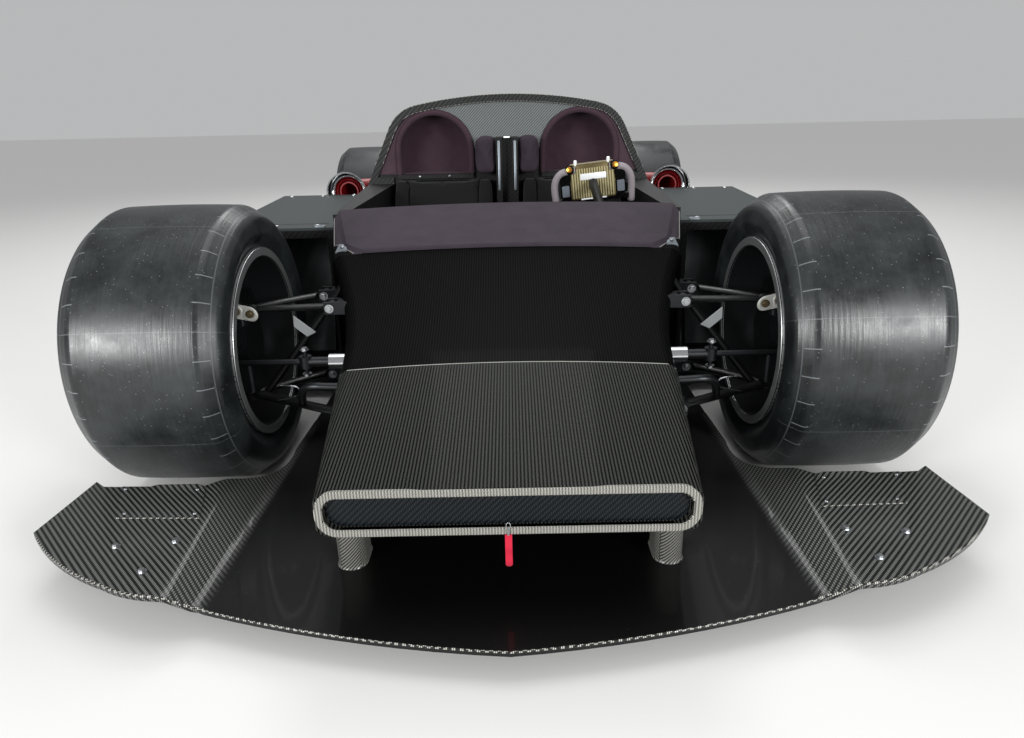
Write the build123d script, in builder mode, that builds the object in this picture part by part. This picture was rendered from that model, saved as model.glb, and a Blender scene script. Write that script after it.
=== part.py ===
"""Open two-seat carbon-fibre track car without outer bodywork, in millimetres.

The nose looks along -Y, the car's left side lies towards +X and Z is up.
The origin lies on the ground under the middle of the car.
"""
import os

from build123d import *

# Length stations
FRONT_OVERHANG = 817
WHEELBASE = 2700
REAR_OVERHANG = 643
OVERALL_LENGTH = FRONT_OVERHANG + WHEELBASE + REAR_OVERHANG
NOSE_TIP = -OVERALL_LENGTH / 2
TAIL = OVERALL_LENGTH / 2
FRONT_AXLE = NOSE_TIP + FRONT_OVERHANG
REAR_AXLE = FRONT_AXLE + WHEELBASE
NOSE_FRONT = NOSE_TIP + 135
SEAM = FRONT_AXLE - 250
WAIST = FRONT_AXLE - 30
COWL_FRONT = FRONT_AXLE + 0.0585 * WHEELBASE
COWL_BACK = FRONT_AXLE + 0.166 * WHEELBASE
BULKHEAD = FRONT_AXLE + 0.537 * WHEELBASE
BULKHEAD_THICKNESS = 50
COCKPIT_LENGTH = BULKHEAD - COWL_BACK
ENGINE_FRONT = BULKHEAD + BULKHEAD_THICKNESS
ENGINE_BACK = REAR_AXLE - 600
GEARBOX_BACK = TAIL - 120
AIR = 0.3

# Widths that the rest hangs on
TUB_INSIDE = 500
NOSE_HALF = TUB_INSIDE - 160
SEAM_HALF = TUB_INSIDE - 112
WAIST_HALF = TUB_INSIDE - 89
COWL_FRONT_HALF = TUB_INSIDE - 23
COWL_BACK_HALF = TUB_INSIDE + 36
HOOP_HALF = TUB_INSIDE + 115
FRONT_ARM_SPAN = 295
FRONT_WHEEL_X = TUB_INSIDE + FRONT_ARM_SPAN
FINAL_DRIVE_HALF = 182
REAR_SHAFT_SPAN = 633
REAR_WHEEL_X = FINAL_DRIVE_HALF + REAR_SHAFT_SPAN

# Wheels and tyres
FRONT_TYRE_RADIUS = 350
FRONT_TYRE_WIDTH = 360
REAR_TYRE_RADIUS = 360
REAR_TYRE_WIDTH = 370
BEAD_RADIUS = 229
FLANGE_HEIGHT = 13
FLANGE_THICKNESS = 8
RIM_WALL = 9
SPOKE_COUNT = 10
SPOKE_WIDTH = 28
HUB_RADIUS = 72
SPINDLE_RADIUS = 30
DISC_RADIUS = 180
DISC_THICKNESS = 34
DISC_BORE = 48

# Floor and splitter
FLOOR_LOW = 45
FLOOR_TOP = 60
TUB_FLOOR_TOP = FLOOR_TOP + 25
SPLITTER_THICKNESS = 12
SPLITTER_BACK = FRONT_AXLE + 130
RAMP_FOOT = TUB_INSIDE + 70
WING_TIP = FRONT_WHEEL_X + 175
SHEET_END = WING_TIP + 15

# Tub
TUB_WALL = 30
SILL_TOP = 612
COWL_THICKNESS = 10

# Roll hoop and head pockets
HOOP_TOP = 971
HOOP_RIM = 28
HOOP_DEPTH = 76
HOOP_FRONT = BULKHEAD - 14
HOOP_BACK = HOOP_FRONT + HOOP_DEPTH
POCKET_X = 0.628 * TUB_INSIDE
POCKET_RADIUS = 0.44 * (HOOP_TOP - SILL_TOP)
POCKET_WALL = 9
POCKET_CENTRE = HOOP_TOP - POCKET_RADIUS - 69
POCKET_FOOT = SILL_TOP + 38
NOSING_RADIUS = POCKET_RADIUS + 12
NOSING_DEPTH = 12

# Front corner
KINGPIN_X = FRONT_WHEEL_X - 105
ARM_LENGTH = 122
RACK_Z = FRONT_TYRE_RADIUS - 18
UPPER_JOINT_Z = FRONT_TYRE_RADIUS + 85
LOWER_JOINT_Z = FRONT_TYRE_RADIUS - 145
PIN_RADIUS = 10
EYE_RADIUS = 22
EYE_HEIGHT = 29

os.makedirs("parts", exist_ok=True)


def across(y, x=0):
    """A plane that cuts the car across at y: sketch x is X from x and sketch y is Z."""
    return Plane(origin=(x, y, 0), x_dir=(1, 0, 0), z_dir=(0, -1, 0))


def along(x):
    """A plane that cuts the car lengthwise at x: sketch x is Y and sketch y is Z."""
    return Plane(origin=(x, 0, 0), x_dir=(0, 1, 0), z_dir=(1, 0, 0))


def crowned(y, half, low, high, crown, radius):
    """A rounded box section across the car with a crowned top."""
    with BuildSketch(across(y)) as section:
        with BuildLine():
            Polyline((half, high - crown), (half, low), (-half, low), (-half, high - crown))
            ThreePointArc((-half, high - crown), (0, high), (half, high - crown))
        make_face()
        fillet(section.vertices(), radius)
    return section.sketch


def bar(start, end, width, height):
    """A straight bar of oval section between two points, its long axis level."""
    span = Vector(*end) - Vector(*start)
    level_dir = Vector(0, 0, 1).cross(span)
    with BuildPart() as piece:
        with BuildSketch(Plane(origin=start, x_dir=level_dir, z_dir=span)):
            Ellipse(width / 2, height / 2)
        extrude(amount=span.length)
    return piece.part


def rod(start, end, radius):
    """A straight round rod between two points."""
    span = Vector(*end) - Vector(*start)
    with BuildPart() as piece:
        with BuildSketch(Plane(origin=start, z_dir=span)):
            Circle(radius)
        extrude(amount=span.length)
    return piece.part


def save(builder, node):
    """Names a finished piece and writes its file."""
    builder.part.label = node
    export_step(builder.part, f"parts/{node}.step")


# Splitter: flat centre, ramps that grow towards the back and raised outer wings
RAMP_BEND = 45
with BuildPart() as splitter:
    for y, ramp_run, ramp_rise, tip_rise in (
        (NOSE_TIP - 10, 48, 26, 32),
        (SPLITTER_BACK + 10, 120, 88, 98),
    ):
        crest = (RAMP_FOOT + ramp_run, FLOOR_TOP + ramp_rise)
        top = [(RAMP_FOOT, FLOOR_TOP), crest, (SHEET_END, FLOOR_TOP + tip_rise)]
        low = [(x, z - SPLITTER_THICKNESS) for x, z in reversed(top)]
        other_side = [(-x, z) for x, z in reversed(top + low)]
        with BuildSketch(across(y)) as sheet_section:
            with BuildLine():
                Polyline(*top, *low, *other_side, close=True)
            make_face()
            fillet([v for v in sheet_section.vertices() if abs(v.X) < SHEET_END - 1], RAMP_BEND)
    loft(ruled=True)
    ramp_front = (RAMP_FOOT, NOSE_TIP + 123)
    crest_front = (RAMP_FOOT + 180, NOSE_TIP + 145)
    tip_front = (WING_TIP, NOSE_TIP + 300)
    wing_back = FRONT_AXLE - FRONT_TYRE_RADIUS
    arch_start = (RAMP_FOOT + 130, wing_back - 2)
    arch_end = (RAMP_FOOT + 3, FRONT_AXLE - 60)
    with BuildSketch():
        with BuildLine():
            ThreePointArc((0, NOSE_TIP), (0.556 * RAMP_FOOT, NOSE_TIP + 50), ramp_front)
            ThreePointArc(ramp_front, (RAMP_FOOT + 95, NOSE_TIP + 117), crest_front)
            ThreePointArc(crest_front, (WING_TIP - 90, NOSE_TIP + 217), tip_front)
            Polyline(tip_front, (WING_TIP - 28, wing_back + 20), (WING_TIP - 55, wing_back), arch_start)
            ThreePointArc(arch_start, (RAMP_FOOT + 30, FRONT_AXLE - 235), arch_end)
            Polyline(arch_end, (RAMP_FOOT, SPLITTER_BACK), (0, SPLITTER_BACK))
            mirror(about=Plane.YZ)
        make_face()
    extrude(amount=300, mode=Mode.INTERSECT)
save(splitter, "splitter")

# Nose box: closed crash structure with a recessed face, on two pylons
NOSE_SECTION = (NOSE_HALF, 199, 291, 10, 22)
SEAM_SECTION = (SEAM_HALF, 130, 366, 14, 30)
FACE_MIDDLE = 243
FACE_LENGTH = 2 * NOSE_HALF - 32
FACE_HEIGHT = 62
FACE_DEPTH = 10
with BuildPart() as nose_box:
    loft([crowned(NOSE_FRONT, *NOSE_SECTION), crowned(SEAM, *SEAM_SECTION)], ruled=True)
    with BuildSketch(across(NOSE_FRONT)):
        with Locations((0, FACE_MIDDLE)):
            SlotOverall(FACE_LENGTH, FACE_HEIGHT)
    extrude(amount=-FACE_DEPTH, mode=Mode.SUBTRACT)
save(nose_box, "nose_box")

PYLON_X = NOSE_HALF - 27
PYLON_WIDTH = 56
PYLON_LENGTH = 95
PYLON_Y = NOSE_FRONT + 142
PYLON_HEIGHT = 150
with BuildPart() as pylons:
    with BuildSketch(Plane.XY.offset(FLOOR_TOP)):
        with Locations((PYLON_X, PYLON_Y), (-PYLON_X, PYLON_Y)):
            SlotOverall(PYLON_LENGTH, PYLON_WIDTH, rotation=90)
    extrude(amount=PYLON_HEIGHT)
    add(nose_box.part, mode=Mode.SUBTRACT)
save(pylons, "nose_pylons")

STRAP_LENGTH = 80
STRAP_WIDTH = 13
STRAP_THICKNESS = 4
STRAP_MIDDLE = 172
STRAP_EYE = 3.5
with BuildPart() as tow_strap:
    with BuildSketch(across(NOSE_FRONT)):
        with Locations((0, STRAP_MIDDLE)):
            SlotOverall(STRAP_LENGTH, STRAP_WIDTH, rotation=90)
        with Locations((0, STRAP_MIDDLE + STRAP_LENGTH / 2 - 8)):
            Circle(STRAP_EYE, mode=Mode.SUBTRACT)
    extrude(amount=STRAP_THICKNESS)
save(tow_strap, "tow_strap")

# Tub: hollow footwell with a scuttle, then floor and sides, bulkhead and hoop
WAIST_SECTION = (WAIST_HALF, 85, 448, 14, 30)
COWL_FRONT_SECTION = (COWL_FRONT_HALF, FLOOR_TOP, 552, 14, 30)
COWL_BACK_SECTION = (COWL_BACK_HALF, FLOOR_TOP, SILL_TOP + 16, 14, 30)


def shifted(section, grow, lift):
    """A crowned section's numbers, narrowed or widened and with its top lifted."""
    half, low, high, crown, radius = section
    return half + grow, low - grow, high + lift, crown, radius


with BuildPart() as footwell_outside:
    scuttle_start = crowned(COWL_FRONT, *COWL_FRONT_SECTION)
    loft([crowned(SEAM, *SEAM_SECTION), crowned(WAIST, *WAIST_SECTION), scuttle_start])
    loft([scuttle_start, crowned(COWL_BACK, *COWL_BACK_SECTION)], ruled=True)

RACK_Y = FRONT_AXLE - ARM_LENGTH
HOUSING_RADIUS = 20
HOUSING_REACH = TUB_INSIDE - 64
FOOT_FRONT = WAIST - 130
with BuildPart() as footwell:
    add(footwell_outside.part)
    loft(
        [
            crowned(FOOT_FRONT, *shifted(WAIST_SECTION, -TUB_WALL - 12, -TUB_WALL - 50)),
            crowned(COWL_FRONT, *shifted(COWL_FRONT_SECTION, -TUB_WALL, -TUB_WALL)),
            crowned(COWL_BACK + 1, *shifted(COWL_BACK_SECTION, -TUB_WALL, -TUB_WALL)),
        ],
        ruled=True,
        mode=Mode.SUBTRACT,
    )
    with BuildSketch(along(-TUB_INSIDE)):
        with Locations((RACK_Y, RACK_Z)):
            Circle(HOUSING_RADIUS + AIR)
    extrude(amount=2 * TUB_INSIDE, mode=Mode.SUBTRACT)
save(footwell, "footwell")

with BuildPart() as cowl_panel:
    loft(
        [
            crowned(COWL_FRONT, *shifted(COWL_FRONT_SECTION, 0, COWL_THICKNESS)),
            crowned(COWL_BACK, *shifted(COWL_BACK_SECTION, 0, COWL_THICKNESS)),
        ],
        ruled=True,
    )
    with BuildSketch():
        with BuildLine():
            Polyline(
                (0, COWL_FRONT),
                (COWL_FRONT_HALF - 77, COWL_FRONT),
                (COWL_FRONT_HALF - 27, COWL_FRONT + 42),
                (COWL_BACK_HALF - 18, COWL_BACK),
                (0, COWL_BACK),
            )
            mirror(about=Plane.YZ)
        make_face()
    extrude(amount=2 * SILL_TOP, mode=Mode.INTERSECT)
    add(footwell_outside.part, mode=Mode.SUBTRACT)
save(cowl_panel, "cowl_panel")

with BuildPart() as tub:
    with BuildSketch(Plane.XY.offset(FLOOR_TOP)):
        with Locations((0, (COWL_BACK + BULKHEAD) / 2)):
            Rectangle(2 * TUB_INSIDE, COCKPIT_LENGTH)
    extrude(amount=TUB_FLOOR_TOP - FLOOR_TOP)
    with BuildSketch(Plane.XY.offset(FLOOR_TOP)):
        with BuildLine():
            Polyline(
                (TUB_INSIDE, COWL_BACK),
                (COWL_BACK_HALF, COWL_BACK),
                (HOOP_HALF, HOOP_BACK),
                (TUB_INSIDE, HOOP_BACK),
                close=True,
            )
        make_face()
        mirror(about=Plane.YZ)
    extrude(amount=SILL_TOP - FLOOR_TOP)
save(tub, "tub")

HOOP_SHOULDER = (HOOP_HALF - 245, HOOP_TOP - 35)
HOOP_CORNER = (HOOP_HALF - 144, HOOP_TOP - 55)
HOOP_CORNER_RADIUS = 165


def hoop_outline(y, inset):
    """The hoop's arch at y, seen from the front and drawn in by the inset."""
    side = [HOOP_SHOULDER, HOOP_CORNER, (HOOP_HALF, SILL_TOP)]
    other_side = [(-x, z) for x, z in reversed(side)]
    with BuildSketch(across(y)) as arch:
        with BuildLine():
            Polyline(*side, *other_side)
            ThreePointArc(other_side[-1], (0, HOOP_TOP), side[0])
        make_face()
        corners = [v for v in arch.vertices() if abs(abs(v.X) - HOOP_CORNER[0]) < 1]
        fillet(corners, HOOP_CORNER_RADIUS)
        if inset:
            offset(amount=-inset, mode=Mode.REPLACE)
    return arch.sketch


with BuildPart() as roll_hoop:
    extrude(hoop_outline(HOOP_FRONT, 0), amount=-HOOP_DEPTH)
    extrude(hoop_outline(HOOP_FRONT, HOOP_RIM), amount=-HOOP_DEPTH, mode=Mode.SUBTRACT)
    with BuildSketch(Plane.XY.offset(SILL_TOP)):
        with Locations((0, HOOP_FRONT + HOOP_DEPTH / 2)):
            Rectangle(2 * TUB_INSIDE, HOOP_DEPTH + 1)
    extrude(amount=HOOP_RIM + 5, mode=Mode.SUBTRACT)
save(roll_hoop, "roll_hoop")


def pocket_face(plane, radius):
    """A pocket's arched outline on a plane across the car."""
    with BuildSketch(plane) as face:
        with Locations((0, (POCKET_FOOT + POCKET_CENTRE) / 2)):
            Rectangle(2 * radius, POCKET_CENTRE - POCKET_FOOT)
        with Locations((0, POCKET_CENTRE)):
            Circle(radius)
        with Locations((0, POCKET_FOOT - radius)):
            Rectangle(4 * radius, 2 * radius, mode=Mode.SUBTRACT)
    return face.sketch


def pocket(x, radius):
    """An upright niche form at x: a round column with a round top."""
    with BuildPart() as form:
        with BuildSketch(across(BULKHEAD, x)):
            with BuildLine():
                Polyline((0, POCKET_FOOT), (radius, POCKET_FOOT), (radius, POCKET_CENTRE))
                RadiusArc((radius, POCKET_CENTRE), (0, POCKET_CENTRE + radius), -radius)
                Line((0, POCKET_CENTRE + radius), (0, POCKET_FOOT))
            make_face()
        revolve(axis=Axis((x, BULKHEAD, 0), (0, 0, 1)))
    return form.part


LEDGE_LENGTH = 2 * POCKET_RADIUS + 14
LEDGE_HEIGHT = 18
LEDGE_DEPTH = 24
SILL_FACE = SILL_TOP + HOOP_RIM + 2
with BuildPart() as rear_bulkhead:
    extrude(hoop_outline(BULKHEAD, HOOP_RIM + AIR), amount=-BULKHEAD_THICKNESS)
    with BuildSketch(across(BULKHEAD)):
        with Locations((0, (SILL_FACE + FLOOR_TOP) / 2)):
            Rectangle(2 * TUB_INSIDE, SILL_FACE - FLOOR_TOP)
    extrude(amount=-BULKHEAD_THICKNESS)
    for side in (1, -1):
        add(pocket(side * POCKET_X, POCKET_RADIUS + AIR), mode=Mode.SUBTRACT)
    with BuildSketch(across(BULKHEAD)):
        with Locations(
            (POCKET_X, POCKET_FOOT - AIR - LEDGE_HEIGHT / 2),
            (-POCKET_X, POCKET_FOOT - AIR - LEDGE_HEIGHT / 2),
        ):
            RectangleRounded(LEDGE_LENGTH, LEDGE_HEIGHT, 4)
    extrude(amount=LEDGE_DEPTH)
save(rear_bulkhead, "rear_bulkhead")

with BuildPart() as head_pockets:
    for side in (1, -1):
        add(pocket(side * POCKET_X, POCKET_RADIUS))
    with BuildSketch(across(BULKHEAD)):
        Rectangle(4 * TUB_INSIDE, 4 * HOOP_TOP)
    extrude(amount=2 * POCKET_RADIUS, mode=Mode.SUBTRACT)
    for side in (1, -1):
        extrude(pocket_face(across(BULKHEAD, side * POCKET_X), NOSING_RADIUS), amount=NOSING_DEPTH)
    for side in (1, -1):
        add(pocket(side * POCKET_X, POCKET_RADIUS - POCKET_WALL), mode=Mode.SUBTRACT)
save(head_pockets, "head_pockets")

# Between the seats: slotted centre spine and padded collars
SPINE_HALF = 46
SPINE_TOP = HOOP_TOP - 171
SPINE_LENGTH = 150
SLOT_WIDTH = 42
SLOT_LENGTH = 40
COLLAR_HALF = POCKET_X - NOSING_RADIUS - 12
COLLAR_DEPTH = 140
COLLAR_HEIGHT = 0.42 * (HOOP_TOP - SILL_TOP)
COLLAR_MIDDLE = POCKET_FOOT + 5 + COLLAR_HEIGHT / 2
COLLAR_WIDTH = COLLAR_HALF - SPINE_HALF - AIR
with BuildPart() as centre_spine:
    with BuildSketch(Plane.XY.offset(TUB_FLOOR_TOP)):
        with Locations((0, BULKHEAD - SPINE_LENGTH / 2)):
            Rectangle(2 * SPINE_HALF, SPINE_LENGTH)
        with Locations((0, BULKHEAD - SPINE_LENGTH + SLOT_LENGTH / 2)):
            Rectangle(SLOT_WIDTH, SLOT_LENGTH, mode=Mode.SUBTRACT)
    extrude(amount=SPINE_TOP - TUB_FLOOR_TOP)
save(centre_spine, "centre_spine")

with BuildPart() as collar_pads:
    with BuildSketch(across(BULKHEAD)):
        with Locations(((SPINE_HALF + AIR + COLLAR_HALF) / 2, COLLAR_MIDDLE)):
            RectangleRounded(COLLAR_WIDTH, COLLAR_HEIGHT, COLLAR_WIDTH / 4)
    extrude(amount=COLLAR_DEPTH)
    mirror(about=Plane.YZ)
save(collar_pads, "collar_pads")

# Seats: one bent shell each with raised edges
SEAT_X = 0.54 * TUB_INSIDE
SEAT_WIDTH = 0.8 * TUB_INSIDE
SEAT_EDGE = 36
SEAT_TOP = SILL_TOP + 10
SEAT_INNER = along(SEAT_X - SEAT_WIDTH / 2)
SEAT_OUTER = along(SEAT_X + SEAT_WIDTH / 2 - SEAT_EDGE)
with BuildPart() as seats:
    with BuildSketch(SEAT_INNER):
        with BuildLine():
            Polyline(
                (BULKHEAD - 30, SEAT_TOP),
                (BULKHEAD - 85, SEAT_TOP),
                (BULKHEAD - 330, 190),
                (BULKHEAD - 720, 240),
                (BULKHEAD - 720, 190),
                (BULKHEAD - 320, TUB_FLOOR_TOP + AIR),
                (BULKHEAD - 180, TUB_FLOOR_TOP + AIR),
                close=True,
            )
        seat_side = make_face()
        fillet([v for v in seat_side.vertices() if v.Y == 190 and v.X > BULKHEAD - 500], 80)
    extrude(amount=SEAT_WIDTH)
    with BuildSketch(SEAT_INNER, SEAT_OUTER):
        with BuildLine():
            Polyline(
                (BULKHEAD - 85, SEAT_TOP - 40),
                (BULKHEAD - 150, SEAT_TOP - 50),
                (BULKHEAD - 420, 290),
                (BULKHEAD - 700, 300),
                (BULKHEAD - 700, 200),
                (BULKHEAD - 320, 120),
                close=True,
            )
        make_face()
    extrude(amount=SEAT_EDGE)
    mirror(about=Plane.YZ)
save(seats, "seats")

# Steering column and yoke: the yoke's ribbed housing looks forward
WHEEL_X = SEAT_X + 36
WHEEL_Y = COWL_BACK + 0.4 * COCKPIT_LENGTH
WHEEL_Z = SILL_TOP + 56
WHEEL_TURN = 6
WHEEL_PLANE = Plane(origin=(WHEEL_X, WHEEL_Y, WHEEL_Z), x_dir=(1, 0, 0), z_dir=(0, -1, -0.25))
HOUSING_WIDTH = 158
HOUSING_HEIGHT = 122
HOUSING_DEPTH = 40
RIB_COUNT = 13
RIB_WIDTH = 6
RIB_HEIGHT = 4
COLUMN_START = HOUSING_DEPTH + RIB_HEIGHT + 0.5
COLUMN_RADIUS = 16
COLUMN_LENGTH = 560
HANGER_Y = COWL_FRONT + 175
HANGER_LOW = WHEEL_Z - 155
HANGER_HEIGHT = 62
with BuildPart() as steering_column:
    with BuildSketch(WHEEL_PLANE.offset(COLUMN_START)):
        Circle(COLUMN_RADIUS)
    extrude(amount=COLUMN_LENGTH)
    with BuildSketch(Plane.XY.offset(HANGER_LOW)):
        with Locations((WHEEL_X, HANGER_Y)):
            Rectangle(30, 26)
    extrude(amount=HANGER_HEIGHT)
    add(footwell.part, mode=Mode.SUBTRACT)
save(steering_column, "steering_column")

GRIP_RADIUS = 12
GRIP_X = 138
KNOB_RADIUS = 12
with BuildPart() as yoke:
    with BuildSketch(WHEEL_PLANE):
        RectangleRounded(HOUSING_WIDTH, HOUSING_HEIGHT, 14)
    extrude(amount=HOUSING_DEPTH)
    with BuildSketch(WHEEL_PLANE.offset(HOUSING_DEPTH)):
        with Locations((0, -0.08 * HOUSING_HEIGHT)):
            with GridLocations(HOUSING_WIDTH / RIB_COUNT, 1, RIB_COUNT, 1):
                Rectangle(RIB_WIDTH, 0.72 * HOUSING_HEIGHT)
    extrude(amount=RIB_HEIGHT)
    with BuildLine(WHEEL_PLANE.offset(HOUSING_DEPTH / 2)) as grip_path:
        FilletPolyline(
            (HOUSING_WIDTH / 2 - 20, 0.36 * HOUSING_HEIGHT),
            (GRIP_X - 24, 0.33 * HOUSING_HEIGHT),
            (GRIP_X, -0.05 * HOUSING_HEIGHT),
            (GRIP_X - 4, -0.72 * HOUSING_HEIGHT),
            radius=26,
        )
    grip_line = grip_path.wires()[0]
    with BuildSketch(Plane(origin=grip_line @ 0, z_dir=grip_line % 0)):
        Circle(GRIP_RADIUS)
    sweep(path=grip_line)
    with BuildSketch(WHEEL_PLANE.offset(8)):
        with Locations((HOUSING_WIDTH / 2 - 6, HOUSING_HEIGHT / 2 - 6)):
            Circle(KNOB_RADIUS)
    extrude(amount=HOUSING_DEPTH)
    with BuildSketch(WHEEL_PLANE.offset(HOUSING_DEPTH - 10)):
        with Locations((HOUSING_WIDTH / 2 + 10, -20)):
            RectangleRounded(34, 46, 5)
    extrude(amount=6)
    mirror(about=Plane.YZ.offset(WHEEL_X))
    with BuildSketch(WHEEL_PLANE.offset(HOUSING_DEPTH / 2 - 8)):
        with Locations((0, -HOUSING_HEIGHT / 2 - 6)):
            RectangleRounded(2 * GRIP_X - 12, 18, 8)
    extrude(amount=16)

with BuildPart() as steering_wheel:
    add(yoke.part.rotate(Axis(WHEEL_PLANE.origin, WHEEL_PLANE.z_dir), WHEEL_TURN))
save(steering_wheel, "steering_wheel")


# Wheels: tyre and spoked rim round each hub, with a vented disc inside
def hub_frame(x, y, z):
    """A hub's section plane, which looks outboard along its sketch x, and its axle."""
    sign = 1 if x > 0 else -1
    plane = Plane(origin=(x, y, z), x_dir=(sign, 0, 0), z_dir=(0, -sign, 0))
    return plane, Axis((x, y, z), (1, 0, 0))


def brake_disc(plane, axle, bore):
    """A brake disc with its bell."""
    with BuildPart() as disc:
        with BuildSketch(plane):
            with BuildLine():
                Polyline(
                    (-45, 82),
                    (-45, DISC_RADIUS),
                    (-45 + DISC_THICKNESS, DISC_RADIUS),
                    (-45 + DISC_THICKNESS, 96),
                    (10, 90),
                    (10, HUB_RADIUS - 4),
                    (25, HUB_RADIUS - 4),
                    (25, bore),
                    (4, bore),
                    (4, 82),
                    close=True,
                )
            make_face()
        revolve(axis=axle)
    return disc.part


def wheel(place, plane, axle, tyre_radius, tyre_width):
    """Writes one wheel's tyre and rim."""
    half = tyre_width / 2
    bead = half - 15
    barrel = BEAD_RADIUS - AIR
    sidewall = tyre_radius - BEAD_RADIUS
    side = [
        (half - 42, tyre_radius - 3),
        (half, tyre_radius - 0.28 * sidewall),
        (half, BEAD_RADIUS + 0.37 * sidewall),
        (bead, BEAD_RADIUS + 14),
        (bead, BEAD_RADIUS),
    ]
    other_side = [(-x, z) for x, z in reversed(side)]
    with BuildPart() as tyre:
        with BuildSketch(plane) as tyre_section:
            with BuildLine():
                Polyline(*side, *other_side)
                ThreePointArc(other_side[-1], (0, tyre_radius), side[0])
            make_face()
            fillet([v for v in tyre_section.vertices() if v.Y > BEAD_RADIUS + 20], 24)
        revolve(axis=axle)
    save(tyre, f"tyre_{place}")
    with BuildPart() as spoke:
        with BuildSketch(plane):
            with BuildLine():
                Polyline(
                    (26, HUB_RADIUS - 8),
                    (half - 88, barrel - RIM_WALL + 4),
                    (half - 38, barrel - RIM_WALL + 4),
                    (60, HUB_RADIUS - 8),
                    close=True,
                )
            make_face()
        extrude(amount=SPOKE_WIDTH / 2, both=True)
    lip = bead + AIR
    edge = lip + FLANGE_THICKNESS
    with BuildPart() as rim:
        with BuildSketch(plane):
            with BuildLine():
                Polyline(
                    (-edge, barrel + FLANGE_HEIGHT),
                    (-lip, barrel + FLANGE_HEIGHT),
                    (-lip, barrel),
                    (lip, barrel),
                    (lip, barrel + FLANGE_HEIGHT),
                    (edge, barrel + FLANGE_HEIGHT),
                    (edge, barrel - RIM_WALL),
                    (-edge, barrel - RIM_WALL),
                    close=True,
                )
            make_face()
        revolve(axis=axle)
        with BuildSketch(plane):
            with BuildLine():
                Polyline(
                    (25, SPINDLE_RADIUS + AIR),
                    (25, HUB_RADIUS),
                    (60, HUB_RADIUS),
                    (72, 42),
                    (96, 36),
                    (96, 0),
                    (82, 0),
                    (82, SPINDLE_RADIUS + AIR),
                    close=True,
                )
            make_face()
        revolve(axis=axle)
        for number in range(SPOKE_COUNT):
            add(spoke.part.rotate(axle, 360 * number / SPOKE_COUNT))
    save(rim, f"rim_{place}")


FRONT_PLACES = (("front_left", 1), ("front_right", -1))
REAR_PLACES = (("rear_left", 1), ("rear_right", -1))
for place, sign in FRONT_PLACES:
    hub_plane, axle = hub_frame(sign * FRONT_WHEEL_X, FRONT_AXLE, FRONT_TYRE_RADIUS)
    wheel(place, hub_plane, axle, FRONT_TYRE_RADIUS, FRONT_TYRE_WIDTH)
    with BuildPart() as front_disc:
        add(brake_disc(hub_plane, axle, DISC_BORE))
    save(front_disc, f"brake_disc_{place}")

# Rear wheels also carry a driveshaft, with the disc on its flange
for place, sign in REAR_PLACES:
    hub_plane, axle = hub_frame(sign * REAR_WHEEL_X, REAR_AXLE, REAR_TYRE_RADIUS)
    wheel(place, hub_plane, axle, REAR_TYRE_RADIUS, REAR_TYRE_WIDTH)
    shaft_end = REAR_SHAFT_SPAN - 5
    with BuildPart() as driveshaft:
        with BuildSketch(hub_plane):
            with BuildLine():
                Polyline(
                    (-shaft_end, 0),
                    (-shaft_end, 48),
                    (-shaft_end + 70, 48),
                    (-shaft_end + 90, 18),
                    (-240, 18),
                    (-225, 44),
                    (-165, 44),
                    (-150, SPINDLE_RADIUS),
                    (76, SPINDLE_RADIUS),
                    (76, 0),
                    close=True,
                )
            make_face()
        revolve(axis=axle)
        add(brake_disc(hub_plane, axle, SPINDLE_RADIUS - 2))
    save(driveshaft, f"driveshaft_{place}")


# Front uprights: hub carrier, web between the ball pins, lug, steering arm and caliper
def caliper(plane, axle, start):
    """A caliper that reaches round the disc's edge through sixty degrees."""
    with BuildPart() as piece:
        with BuildSketch(plane):
            with BuildLine():
                Polyline(
                    (-78, 105),
                    (-50, 105),
                    (-50, DISC_RADIUS + 5),
                    (-6, DISC_RADIUS + 5),
                    (-6, 125),
                    (14, 125),
                    (14, DISC_RADIUS + 24),
                    (-78, DISC_RADIUS + 24),
                    close=True,
                )
            make_face()
        revolve(axis=axle, revolution_arc=60)
    return piece.part.rotate(axle, start)


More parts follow.
